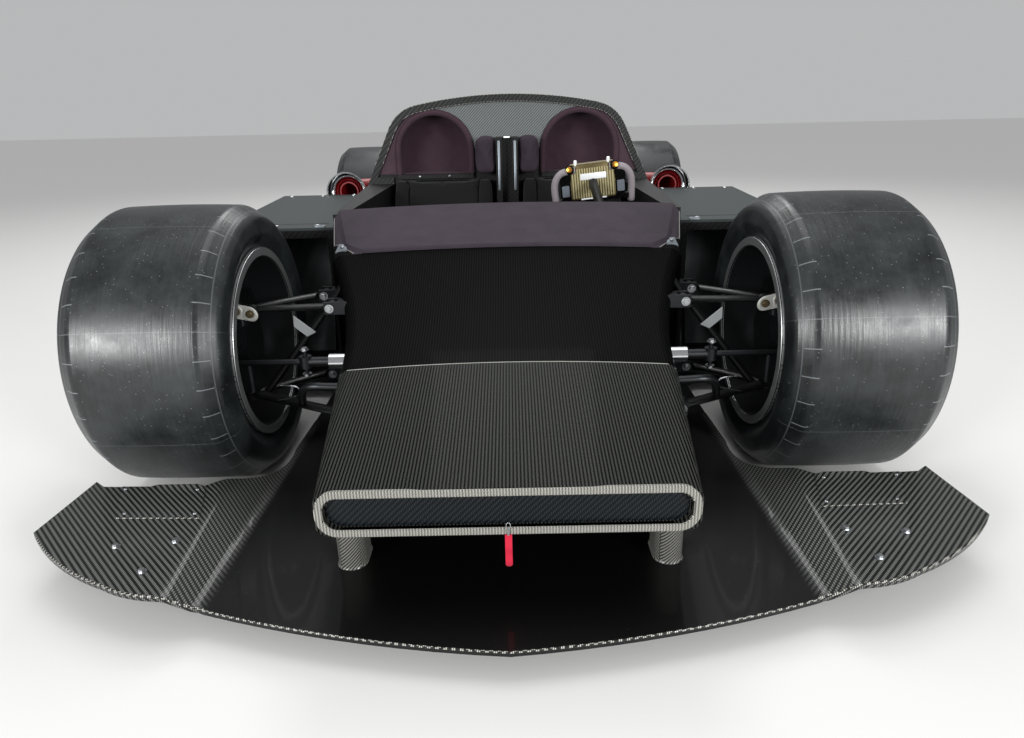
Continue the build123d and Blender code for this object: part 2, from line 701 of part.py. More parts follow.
WEB_WIDTH = 50
WEB_LENGTH = 74
LUG_LENGTH = 72
LUG_HEIGHT = 38
LUG_THICKNESS = 12
LUG_Z = UPPER_JOINT_Z + 5
STEM_WIDTH = 34
CARRIER_RADIUS = 62
for place, sign in FRONT_PLACES:
    hub_plane, axle = hub_frame(sign * FRONT_WHEEL_X, FRONT_AXLE, FRONT_TYRE_RADIUS)
    pin_x = sign * KINGPIN_X
    front_caliper = caliper(hub_plane, axle, -120)
    with BuildPart() as upright:
        with BuildSketch(hub_plane):
            with BuildLine():
                Polyline(
                    (-135, 0),
                    (-135, CARRIER_RADIUS),
                    (-52, CARRIER_RADIUS),
                    (-52, SPINDLE_RADIUS),
                    (76, SPINDLE_RADIUS),
                    (76, 0),
                    close=True,
                )
            make_face()
        revolve(axis=axle)
        with BuildSketch(Plane.XY.offset(LOWER_JOINT_Z + 15)):
            with Locations((pin_x, FRONT_AXLE)):
                RectangleRounded(WEB_WIDTH, WEB_LENGTH, 12)
        extrude(amount=UPPER_JOINT_Z - LOWER_JOINT_Z - 30)
        with BuildSketch(Plane.XY.offset(LOWER_JOINT_Z - 20)):
            with Locations((pin_x, FRONT_AXLE)):
                Circle(PIN_RADIUS)
        extrude(amount=UPPER_JOINT_Z - LOWER_JOINT_Z + 40)
        with BuildSketch(across(FRONT_AXLE - WEB_LENGTH / 2)):
            with Locations((pin_x - sign * 30, LUG_Z)):
                SlotOverall(LUG_LENGTH, LUG_HEIGHT)
            with Locations((pin_x, LUG_Z - LUG_HEIGHT)):
                Rectangle(STEM_WIDTH, 2 * LUG_HEIGHT)
        extrude(amount=LUG_THICKNESS)
        with BuildSketch(Plane.XY.offset(RACK_Z + 8)):
            with Locations((pin_x, FRONT_AXLE - ARM_LENGTH / 2)):
                SlotOverall(ARM_LENGTH + 36, 36, rotation=90)
        extrude(amount=14)
        with BuildSketch(along(sign * (FRONT_WHEEL_X - 64))):
            with Locations((FRONT_AXLE + 85, FRONT_TYRE_RADIUS)):
                Rectangle(90, 80)
        extrude(amount=-26 * sign)
        add(front_caliper)
    save(upright, f"upright_{place}")

# Suspension pivots: clevis brackets with pins, and arms with eyes round those pins
PIVOT_PIN = 6
PIVOT_EYE = 14
PIVOT_HALF = 14
BRACKET_HALF = 26


def bracket(x, y, z, inner_x):
    """A clevis with its pin; it reaches from inner_x out round a pivot at x."""
    with BuildPart() as clevis:
        with BuildSketch(Plane.XY.offset(z - PIVOT_EYE - 2)):
            with Locations(((inner_x + x + PIVOT_EYE) / 2, y)):
                Rectangle(x + PIVOT_EYE - inner_x, 2 * BRACKET_HALF)
        extrude(amount=2 * PIVOT_EYE + 4)
        with BuildSketch(Plane.XY.offset(z - PIVOT_EYE - 3)):
            with Locations((x + PIVOT_EYE, y)):
                Rectangle(4 * PIVOT_EYE + 8, 2 * PIVOT_HALF + 2)
        extrude(amount=2 * PIVOT_EYE + 6, mode=Mode.SUBTRACT)
        with BuildSketch(across(y - BRACKET_HALF)):
            with Locations((x, z)):
                Circle(PIVOT_PIN)
        extrude(amount=-2 * BRACKET_HALF)
    return clevis.part


def wishbone(joint, pivots, width, height):
    """An A-shaped arm from an upright ball-pin eye to eyes on level pivot pins."""
    jx, jy, jz = joint
    legs = []
    for pivot in pivots:
        reach = (Vector(*pivot) - Vector(*joint)).normalized() * (EYE_RADIUS - 6)
        legs.append(bar(tuple(Vector(*joint) + reach), pivot, width, height))
    with BuildPart() as arm:
        with BuildSketch(Plane.XY.offset(jz - EYE_HEIGHT / 2)):
            with Locations((jx, jy)):
                Circle(EYE_RADIUS)
        extrude(amount=EYE_HEIGHT)
        for leg in legs:
            add(leg)
        for x, y, z in pivots:
            with BuildSketch(across(y - PIVOT_HALF)):
                with Locations((x, z)):
                    Circle(PIVOT_EYE)
            extrude(amount=-2 * PIVOT_HALF)
        with BuildSketch(Plane.XY.offset(jz - EYE_HEIGHT)):
            with Locations((jx, jy)):
                Circle(PIN_RADIUS + AIR)
        extrude(amount=2 * EYE_HEIGHT, mode=Mode.SUBTRACT)
        for end in (1, -1):
            with BuildSketch(Plane.XY.offset(jz + end * EYE_HEIGHT / 2)):
                with Locations((jx, jy)):
                    Circle(EYE_RADIUS + 30)
            extrude(amount=end * EYE_HEIGHT, mode=Mode.SUBTRACT)
        for x, y, z in pivots:
            with BuildSketch(across(y - 2 * PIVOT_HALF)):
                with Locations((x, z)):
                    Circle(PIVOT_PIN + AIR)
            extrude(amount=-4 * PIVOT_HALF, mode=Mode.SUBTRACT)
            for end in (1, -1):
                with BuildSketch(across(y - end * PIVOT_HALF)):
                    with Locations((x, z)):
                        Circle(PIVOT_EYE + 7)
                extrude(amount=end * BRACKET_HALF, mode=Mode.SUBTRACT)
    return arm.part.solids().sort_by(SortBy.VOLUME)[-1]


FRONT_PIVOT_X = TUB_INSIDE - 40
WIDE_PIVOT = (TUB_INSIDE + 8, FRONT_AXLE + 172)
FRONT_UPPER_PIVOTS = ((FRONT_PIVOT_X, FRONT_AXLE + 35, 430), (*WIDE_PIVOT, 430))
FRONT_LOWER_PIVOTS = ((FRONT_PIVOT_X - 32, FRONT_AXLE - 130, 200), (*WIDE_PIVOT, 200))
front_upper = wishbone((KINGPIN_X, FRONT_AXLE, UPPER_JOINT_Z), FRONT_UPPER_PIVOTS, 30, 16)
front_lower = wishbone((KINGPIN_X, FRONT_AXLE, LOWER_JOINT_Z), FRONT_LOWER_PIVOTS, 34, 18)
front_push_rod = rod(
    (KINGPIN_X - 42, FRONT_AXLE + 4, LOWER_JOINT_Z + 1), (FRONT_PIVOT_X - 20, FRONT_AXLE + 100, 470), 10
)

# Gearbox with its final drive and the tail box behind it
GEARBOX_FRONT_SECTION = (165, 105, 450, 20, 30)
GEARBOX_BACK_SECTION = (95, 215, 400, 14, 24)
FINAL_DRIVE_RADIUS = 120
with BuildPart() as gearbox:
    gearbox_ends = [
        crowned(ENGINE_BACK, *GEARBOX_FRONT_SECTION),
        crowned(GEARBOX_BACK, *GEARBOX_BACK_SECTION),
    ]
    loft(gearbox_ends, ruled=True)
    with BuildSketch(along(-FINAL_DRIVE_HALF)):
        with Locations((REAR_AXLE, REAR_TYRE_RADIUS)):
            Circle(FINAL_DRIVE_RADIUS)
    extrude(amount=2 * FINAL_DRIVE_HALF)
save(gearbox, "gearbox")

TAIL_BOLT_Z = 305
TAIL_BOLT_ACROSS = 80
TAIL_BOLT_UP = 60
TAIL_BOLT_RADIUS = 4.2
TAIL_BOLT_DEPTH = 40
with BuildPart() as tail_box:
    loft([crowned(GEARBOX_BACK, 84, 225, 386, 10, 20), crowned(TAIL, 62, 250, 360, 8, 20)], ruled=True)
    with BuildSketch(across(TAIL)):
        with Locations((0, TAIL_BOLT_Z)):
            with GridLocations(TAIL_BOLT_ACROSS, TAIL_BOLT_UP, 2, 2):
                Circle(TAIL_BOLT_RADIUS)
    extrude(amount=TAIL_BOLT_DEPTH, mode=Mode.SUBTRACT)
save(tail_box, "tail_box")

# Arms and clevises of all four corners; the rear ones reach to the gearbox
REAR_PIN_X = REAR_WHEEL_X - 110
REAR_UPPER_Z = REAR_TYRE_RADIUS + 92
REAR_LOWER_Z = REAR_TYRE_RADIUS - 150
REAR_PIVOT_X = FINAL_DRIVE_HALF + 23
REAR_PIVOT_SPREAD = 210
REAR_SPREADS = (REAR_AXLE - REAR_PIVOT_SPREAD, REAR_AXLE + REAR_PIVOT_SPREAD)
REAR_UPPER_PIVOTS = [(REAR_PIVOT_X, y, REAR_TYRE_RADIUS + 15) for y in REAR_SPREADS]
REAR_LOWER_PIVOTS = [(REAR_PIVOT_X, y, REAR_TYRE_RADIUS - 134) for y in REAR_SPREADS]
rear_upper = wishbone((REAR_PIN_X, REAR_AXLE, REAR_UPPER_Z), REAR_UPPER_PIVOTS, 30, 16)
rear_lower = wishbone((REAR_PIN_X, REAR_AXLE, REAR_LOWER_Z), REAR_LOWER_PIVOTS, 32, 20)
rear_push_rod = rod(
    (REAR_PIN_X - 50, REAR_AXLE + 16, REAR_LOWER_Z + 4), (REAR_PIVOT_X - 35, REAR_AXLE + 70, 400), 11
)
with BuildPart() as suspension_arms:
    for arm in (front_upper, front_lower, front_push_rod, rear_upper, rear_lower, rear_push_rod):
        add(arm)
    add(footwell_outside.part, mode=Mode.SUBTRACT)
    add(gearbox.part, mode=Mode.SUBTRACT)
    mirror(about=Plane.YZ)
save(suspension_arms, "suspension_arms")

with BuildPart() as clevises:
    for x, y, z in FRONT_UPPER_PIVOTS + FRONT_LOWER_PIVOTS:
        add(bracket(x, y, z, x - 60))
    for x, y, z in REAR_UPPER_PIVOTS + REAR_LOWER_PIVOTS:
        add(bracket(x, y, z, x - 130))
    add(footwell_outside.part, mode=Mode.SUBTRACT)
    add(gearbox.part, mode=Mode.SUBTRACT)
    mirror(about=Plane.YZ)
save(clevises, "clevises")

hub_plane, axle = hub_frame(REAR_WHEEL_X, REAR_AXLE, REAR_TYRE_RADIUS)
rear_caliper = caliper(hub_plane, axle, 60)
with BuildPart() as rear_uprights:
    with BuildSketch(Plane.XY.offset(REAR_LOWER_Z + 15)):
        with Locations((REAR_PIN_X, REAR_AXLE)):
            RectangleRounded(WEB_WIDTH, WEB_LENGTH, 12)
    extrude(amount=REAR_UPPER_Z - REAR_LOWER_Z - 30)
    with BuildSketch(Plane.XY.offset(REAR_LOWER_Z - 20)):
        with Locations((REAR_PIN_X, REAR_AXLE)):
            Circle(PIN_RADIUS)
    extrude(amount=REAR_UPPER_Z - REAR_LOWER_Z + 40)
    with BuildSketch(along(REAR_WHEEL_X - 90)):
        with Locations((REAR_AXLE - 85, REAR_TYRE_RADIUS)):
            Rectangle(90, 80)
    extrude(amount=26)
    with BuildSketch(along(REAR_WHEEL_X - 140)):
        with Locations((REAR_AXLE, REAR_TYRE_RADIUS)):
            Circle(CARRIER_RADIUS + 2)
    extrude(amount=88)
    add(rear_caliper)
    with BuildSketch(along(REAR_WHEEL_X - 300)):
        with Locations((REAR_AXLE, REAR_TYRE_RADIUS)):
            Circle(SPINDLE_RADIUS + 1)
    extrude(amount=400, mode=Mode.SUBTRACT)
    mirror(about=Plane.YZ)
save(rear_uprights, "rear_uprights")

# Steering rack: fixed tube through the footwell and a sliding bar with both tie rods
RACK_RADIUS = 12
TIE_ROD_RADIUS = 7
JOINT_X = HOUSING_REACH + 60
JOINT_RADIUS = 15
JOINT_HEIGHT = 30
JOINT_BOLT = 5
with BuildPart() as rack_housing:
    with BuildSketch(along(-HOUSING_REACH)):
        with Locations((RACK_Y, RACK_Z)):
            Circle(HOUSING_RADIUS)
            Circle(RACK_RADIUS + 3, mode=Mode.SUBTRACT)
    extrude(amount=2 * HOUSING_REACH)
save(rack_housing, "rack_housing")

with BuildPart() as steering_rack:
    with BuildSketch(along(-JOINT_X)):
        with Locations((RACK_Y, RACK_Z)):
            Circle(RACK_RADIUS)
    extrude(amount=2 * JOINT_X)
    with BuildSketch(along(-KINGPIN_X)):
        with Locations((RACK_Y, RACK_Z)):
            Circle(TIE_ROD_RADIUS)
    extrude(amount=2 * KINGPIN_X)
    for radius, height in ((JOINT_RADIUS, JOINT_HEIGHT), (JOINT_BOLT, 2 * JOINT_HEIGHT)):
        with BuildSketch(Plane.XY.offset(RACK_Z - height / 2)):
            with Locations((JOINT_X, RACK_Y), (-JOINT_X, RACK_Y)):
                Circle(radius)
        extrude(amount=height)
    with BuildSketch(Plane.XY.offset(RACK_Z - 8)):
        with Locations((KINGPIN_X, RACK_Y), (-KINGPIN_X, RACK_Y)):
            Circle(17)
    extrude(amount=15.5)
save(steering_rack, "steering_rack")

# Floor between the axles, with the diffuser and its strakes at the back
POD_FRONT = COWL_BACK + 7
POD_BACK = BULKHEAD - 30
POD_TOP = SILL_TOP - 40
POD_SKIN = 8
POD_WALL = 24
POD_OUT_FRONT = HOOP_HALF + 290
POD_OUT_BACK = HOOP_HALF + 370
DIFFUSER_START = REAR_AXLE + 60
DIFFUSER_HALF = REAR_WHEEL_X - REAR_TYRE_WIDTH / 2 - 90
DIFFUSER_EXIT = 190
STRAKE_HALF = 4
with BuildPart() as underfloor:
    with BuildSketch(Plane.XY.offset(FLOOR_LOW)):
        with BuildLine():
            Polyline(
                (0, SPLITTER_BACK),
                (RAMP_FOOT, SPLITTER_BACK),
                (RAMP_FOOT, POD_FRONT - 30),
                (RAMP_FOOT + 70, POD_FRONT),
                (POD_OUT_FRONT, POD_FRONT),
                (POD_OUT_BACK, POD_BACK),
                (POD_OUT_BACK, REAR_AXLE - REAR_TYRE_RADIUS - 110),
                (DIFFUSER_HALF + 50, REAR_AXLE - REAR_TYRE_RADIUS - 60),
                (DIFFUSER_HALF, DIFFUSER_START),
                (0, DIFFUSER_START),
            )
            mirror(about=Plane.YZ)
        make_face()
    extrude(amount=FLOOR_TOP - FLOOR_LOW)
    with BuildSketch(along(-DIFFUSER_HALF)):
        with BuildLine():
            Polyline(
                (DIFFUSER_START, FLOOR_LOW),
                (TAIL, DIFFUSER_EXIT),
                (TAIL, DIFFUSER_EXIT + 12),
                (DIFFUSER_START, FLOOR_TOP),
                close=True,
            )
        make_face()
    extrude(amount=2 * DIFFUSER_HALF)
    strake_end = DIFFUSER_HALF - STRAKE_HALF
    for strake_x in (-strake_end, -0.37 * DIFFUSER_HALF, 0.37 * DIFFUSER_HALF, strake_end):
        with BuildSketch(along(strake_x - STRAKE_HALF)):
            with BuildLine():
                Polyline(
                    (DIFFUSER_START, FLOOR_LOW),
                    (TAIL, FLOOR_TOP),
                    (TAIL, DIFFUSER_EXIT + 2),
                    close=True,
                )
            make_face()
        extrude(amount=2 * STRAKE_HALF)
save(underfloor, "underfloor")


# Side pods: hollow cooling ducts under flat satin tops, with a radiator in each
def pod_plan(z, inset):
    """The outline of the left pod at a height, drawn in by the inset."""
    slope = (HOOP_HALF - COWL_BACK_HALF) / (HOOP_BACK - COWL_BACK)
    front_x = COWL_BACK_HALF + slope * (POD_FRONT - COWL_BACK) + 2
    back_x = COWL_BACK_HALF + slope * (POD_BACK - COWL_BACK) + 2
    with BuildSketch(Plane.XY.offset(z)) as plan:
        with BuildLine():
            Polyline(
                (front_x + inset, POD_FRONT),
                (POD_OUT_FRONT - inset, POD_FRONT),
                (POD_OUT_BACK - inset, POD_BACK),
                (back_x + inset, POD_BACK),
                close=True,
            )
        make_face()
    return plan.sketch


DUCT_HEIGHT = POD_TOP - POD_SKIN - FLOOR_TOP
with BuildPart() as pod_ducts:
    extrude(pod_plan(FLOOR_TOP, 0), amount=DUCT_HEIGHT)
    duct_inside = pod_plan(FLOOR_TOP + POD_WALL, POD_WALL)
    extrude(duct_inside, amount=DUCT_HEIGHT - 2 * POD_WALL, mode=Mode.SUBTRACT)
    mirror(about=Plane.YZ)
save(pod_ducts, "pod_ducts")

with BuildPart() as pod_tops:
    extrude(pod_plan(POD_TOP - POD_SKIN, 0), amount=POD_SKIN)
    mirror(about=Plane.YZ)
save(pod_tops, "pod_tops")

RADIATOR_FRONT = POD_FRONT + 260
RADIATOR_DEPTH = 60
RADIATOR_LEAN = 150
RADIATOR_INNER = HOOP_HALF + 30
RADIATOR_TOP = FLOOR_TOP + DUCT_HEIGHT - POD_WALL - 4
with BuildPart() as radiators:
    with BuildSketch(along(RADIATOR_INNER)):
        with BuildLine():
            Polyline(
                (RADIATOR_FRONT, FLOOR_TOP + POD_WALL),
                (RADIATOR_FRONT + RADIATOR_DEPTH, FLOOR_TOP + POD_WALL),
                (RADIATOR_FRONT + RADIATOR_DEPTH + RADIATOR_LEAN, RADIATOR_TOP),
                (RADIATOR_FRONT + RADIATOR_LEAN, RADIATOR_TOP),
                close=True,
            )
        make_face()
    extrude(amount=POD_OUT_FRONT - POD_WALL - RADIATOR_INNER)
    mirror(about=Plane.YZ)
save(radiators, "radiators")

# Engine: one plain vee block, plenum, forward bell mouths and their hoses
with BuildPart() as engine_block:
    with BuildSketch(across(ENGINE_FRONT)):
        with BuildLine():
            Polyline(
                (0, 95),
                (140, 95),
                (160, 240),
                (308, 424),
                (232, 505),
                (70, 350),
                (0, 350),
            )
            mirror(about=Plane.YZ)
        make_face()
    extrude(amount=-(ENGINE_BACK - ENGINE_FRONT))
save(engine_block, "engine_block")

PLENUM_HALF = 68
PLENUM_FRONT = ENGINE_FRONT + 60
PLENUM_BACK = ENGINE_BACK - 60
PLENUM_LOW = 350
PLENUM_HEIGHT = 270
with BuildPart() as plenum:
    with BuildSketch(Plane.XY.offset(PLENUM_LOW)):
        with Locations((0, (PLENUM_FRONT + PLENUM_BACK) / 2)):
            Rectangle(2 * PLENUM_HALF, PLENUM_BACK - PLENUM_FRONT)
    extrude(amount=PLENUM_HEIGHT)
    fillet(plenum.edges().group_by(Axis.Z)[-1], 18)
save(plenum, "intake_plenum")

BELL_X = HOOP_HALF + 101
BELL_Y = BULKHEAD - 10
BELL_Z = SILL_TOP - 34
BELL_RADIUS = 88
BELL_SHEET = 5
BELL_LIP = 8
BELL_LENGTH = 90
HOSE_RADIUS = 42
HOSE_BORE = 36
HOSE_START = BELL_Y + 60
HOSE_TURN = BELL_Y + 240
BELL_AXIS = Axis((BELL_X, BELL_Y, BELL_Z), (0, 1, 0))
with BuildPart() as bell_mouths:
    with BuildSketch(across(BELL_Y)):
        with Locations((BELL_X, BELL_Z)):
            Circle(BELL_RADIUS)
            Circle(BELL_RADIUS - BELL_SHEET, mode=Mode.SUBTRACT)
    extrude(amount=-BELL_LIP)
    with BuildSketch(Plane(origin=BELL_AXIS.position, x_dir=(0, 1, 0), z_dir=(1, 0, 0))):
        inner_lip = (BELL_LIP, BELL_RADIUS - BELL_SHEET)
        outer_lip = (BELL_LIP, BELL_RADIUS)
        inner_end = (BELL_LENGTH, HOSE_RADIUS + AIR)
        outer_end = (BELL_LENGTH, HOSE_RADIUS + BELL_SHEET)
        with BuildLine():
            ThreePointArc(inner_lip, (42, HOSE_RADIUS + 14), inner_end)
            Line(inner_end, outer_end)
            ThreePointArc(outer_end, (44, HOSE_RADIUS + 20), outer_lip)
            Line(outer_lip, inner_lip)
        make_face()
    revolve(axis=BELL_AXIS)
    mirror(about=Plane.YZ)
save(bell_mouths, "bell_mouths")

with BuildPart() as intake_hoses:
    with BuildLine() as hose_path:
        FilletPolyline(
            (BELL_X, HOSE_START, BELL_Z),
            (BELL_X, HOSE_TURN, BELL_Z),
            (PLENUM_HALF, HOSE_TURN, BELL_Z - 18),
            radius=90,
        )
    with BuildSketch(across(HOSE_START)):
        with Locations((BELL_X, BELL_Z)):
            Circle(HOSE_RADIUS)
            Circle(HOSE_BORE, mode=Mode.SUBTRACT)
    sweep(path=hose_path.wires()[0])
    mirror(about=Plane.YZ)
    add(plenum.part, mode=Mode.SUBTRACT)
save(intake_hoses, "intake_hoses")

EXHAUST_RADIUS = 36
EXHAUST_WALL = 4
EXHAUST_START = (208, ENGINE_BACK, 430)
EXHAUST_X = 110
EXHAUST_Z = REAR_TYRE_RADIUS + 180
with BuildPart() as exhausts:
    with BuildLine() as exhaust_path:
        FilletPolyline(
            EXHAUST_START,
            (EXHAUST_START[0], ENGINE_BACK + 120, EXHAUST_START[2]),
            (EXHAUST_X, ENGINE_BACK + 320, EXHAUST_Z),
            (EXHAUST_X, REAR_AXLE + 380, EXHAUST_Z),
            radius=110,
        )
    with BuildSketch(across(ENGINE_BACK)):
        with Locations((EXHAUST_START[0], EXHAUST_START[2])):
            Circle(EXHAUST_RADIUS)
            Circle(EXHAUST_RADIUS - EXHAUST_WALL, mode=Mode.SUBTRACT)
    sweep(path=exhaust_path.wires()[0])
    mirror(about=Plane.YZ)
save(exhausts, "exhausts")
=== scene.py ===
import math

import bmesh
import bpy
from mathutils import Matrix, Vector


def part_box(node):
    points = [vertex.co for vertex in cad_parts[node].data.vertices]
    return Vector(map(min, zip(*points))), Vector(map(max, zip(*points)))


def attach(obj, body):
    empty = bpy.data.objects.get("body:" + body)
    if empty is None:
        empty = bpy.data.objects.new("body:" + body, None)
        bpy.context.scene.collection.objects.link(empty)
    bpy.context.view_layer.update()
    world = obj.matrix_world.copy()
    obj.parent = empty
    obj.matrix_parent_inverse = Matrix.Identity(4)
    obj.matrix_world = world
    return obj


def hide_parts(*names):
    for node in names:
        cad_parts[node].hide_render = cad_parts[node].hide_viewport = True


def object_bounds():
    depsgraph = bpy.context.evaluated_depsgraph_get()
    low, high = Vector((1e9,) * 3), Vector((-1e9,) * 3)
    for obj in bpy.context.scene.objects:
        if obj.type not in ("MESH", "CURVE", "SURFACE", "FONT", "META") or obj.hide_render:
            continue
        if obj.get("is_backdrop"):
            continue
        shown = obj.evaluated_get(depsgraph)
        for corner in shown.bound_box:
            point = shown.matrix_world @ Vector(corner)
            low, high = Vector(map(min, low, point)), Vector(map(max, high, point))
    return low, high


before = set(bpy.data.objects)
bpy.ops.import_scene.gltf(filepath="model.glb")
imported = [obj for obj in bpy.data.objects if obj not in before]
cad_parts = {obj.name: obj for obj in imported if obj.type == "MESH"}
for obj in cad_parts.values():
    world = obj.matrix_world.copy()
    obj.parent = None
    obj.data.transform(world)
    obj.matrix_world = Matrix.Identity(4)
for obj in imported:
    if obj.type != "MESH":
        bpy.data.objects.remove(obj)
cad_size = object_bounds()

# Studio: a pale sealed floor under large soft lamps, so that colours render about as written.
# The camera stands in front of the nose at chest height and looks down at it.
scene = bpy.context.scene
scene.view_settings.view_transform = "Standard"


def linear(colour):
    """An sRGB hex colour as linear red, green, blue and alpha."""
    parts = [int(colour[i:i + 2], 16) / 255 for i in (1, 3, 5)]
    return [p / 12.92 if p <= 0.04045 else ((p + 0.055) / 1.055) ** 2.4 for p in parts] + [1]


def put(tree, kind, wires=None, **settings):
    """Adds a node, or takes one that is there, sets it and fills or links its inputs."""
    node = tree.nodes.new("ShaderNode" + kind) if isinstance(kind, str) else kind
    for name, value in settings.items():
        setattr(node, name, value)
    for name, value in (wires or {}).items():
        if isinstance(value, bpy.types.NodeSocket):
            tree.links.new(value, node.inputs[name])
        else:
            node.inputs[name].default_value = value
    return next((output for output in node.outputs if output.enabled), None)


def surface(name, colour, **sockets):
    """A new material with its node tree and shader; the shader's sockets are set."""
    material = bpy.data.materials.new(name)
    material.use_nodes = True
    shader = material.node_tree.nodes["Principled BSDF"]
    shader.inputs["Base Color"].default_value = linear(colour)
    for socket, value in sockets.items():
        shader.inputs[socket.replace("_", " ")].default_value = value
    return material, material.node_tree, shader


def grained(name, colour, scale, strength, depth, detail=2.0, cells=False, **sockets):
    """A finish with a fine bump of noise or cells; scale counts grains along the piece's own box."""
    material, tree, shader = surface(name, colour, **sockets)
    pattern = {"Scale": scale} if cells else {"Scale": scale, "Detail": detail}
    grain = put(tree, "TexVoronoi" if cells else "TexNoise", pattern)
    dent = put(tree, "Bump", {"Strength": strength, "Distance": depth, "Height": grain})
    put(tree, shader, {"Normal": dent})
    return material


def build(name, verts, faces, finish, body=None, slot=None, sharp=40):
    """A mesh piece in the CAD frame; it rides on a body. The slot argument is not used."""
    mesh = bpy.data.meshes.new(name)
    mesh.from_pydata([tuple(v) for v in verts], [], faces)
    shape = bmesh.new()
    shape.from_mesh(mesh)
    bmesh.ops.remove_doubles(shape, verts=shape.verts, dist=1e-6)
    bmesh.ops.recalc_face_normals(shape, faces=shape.faces)
    shape.to_mesh(mesh)
    shape.free()
    mesh.shade_smooth()
    mesh.set_sharp_from_angle(angle=math.radians(sharp))
    mesh.materials.append(finish)
    piece = bpy.data.objects.new(name, mesh)
    scene.collection.objects.link(piece)
    if body:
        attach(piece, body)
    return piece


# Sealed concrete: matt and pale, with a fine grain
concrete = grained("sealed_concrete", "#dededc", 40, 0.1, 0.002, 5.0, Roughness=0.85)
REACH = 40
corners = [(-REACH, -REACH, 0), (REACH, -REACH, 0), (REACH, REACH, 0), (-REACH, REACH, 0)]
build("floor", corners, [(0, 1, 2, 3)], concrete)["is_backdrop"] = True

world = bpy.data.worlds.new("studio_air")
scene.world = world
world.use_nodes = True
tree = world.node_tree
rays = put(tree, "LightPath").node.outputs
strength = 0.60
for ray, less in (("Is Camera Ray", -0.10), ("Is Glossy Ray", -0.25)):
    strength = put(tree, "Math", {0: rays[ray], 1: less, 2: strength}, operation="MULTIPLY_ADD")
put(tree, tree.nodes["Background"], {"Color": linear("#fafbfc"), "Strength": strength})

# Name, place, aim, width in metres and power in watts
LAMPS = (
    ("lamp_front_left", (3.4, -5.6, 1.85), (0.7, -1.0, 0.4), 1.3, 70),
    ("lamp_front_right", (-3.4, -5.6, 1.85), (-0.7, -1.0, 0.4), 1.3, 70),
    ("lamp_above", (0, 0.2, 6.0), (0, -0.3, 0), 5.0, 60),
    ("lamp_behind", (0, 4.8, 6.5), (0, 1.4, 0.4), 3.0, 70),
)
for name, place, aim, width, power in LAMPS:
    lamp = bpy.data.objects.new(name, bpy.data.lights.new(name, "AREA"))
    lamp.data.size = width
    lamp.data.energy = power
    lamp.data.spread = math.radians(110)
    turn = (Vector(aim) - Vector(place)).to_track_quat("-Z", "Y").to_matrix().to_4x4()
    lamp.matrix_world = Matrix.Translation(place) @ turn
    scene.collection.objects.link(lamp)

CAMERA_PLACE = (0.019, -3.005, 0.895)
PAN, DOWN, ROLL = 0.34, 20.1, -1.29
camera = bpy.data.objects.new("camera", bpy.data.cameras.new("camera"))
camera.data.lens = 24.6
camera.data.sensor_width = 36
camera.matrix_world = (
    Matrix.Translation(CAMERA_PLACE)
    @ Matrix.Rotation(math.radians(PAN), 4, "Z")
    @ Matrix.Rotation(math.radians(90 - DOWN), 4, "X")
    @ Matrix.Rotation(math.radians(ROLL), 4, "Z")
)
scene.collection.objects.link(camera)
scene.camera = camera

# Splitter: a flat carbon-fibre sheet with raised wings, laid up in one mould and lacquered.
# Its middle is painted near-black as the dark reflection of its flat gloss face, and the twill shows on the
# ramps and wings; each wing has an access panel under corner screws, and three bolts.
CHASSIS = "chassis"
SIDES = ((1, "left"), (-1, "right"))


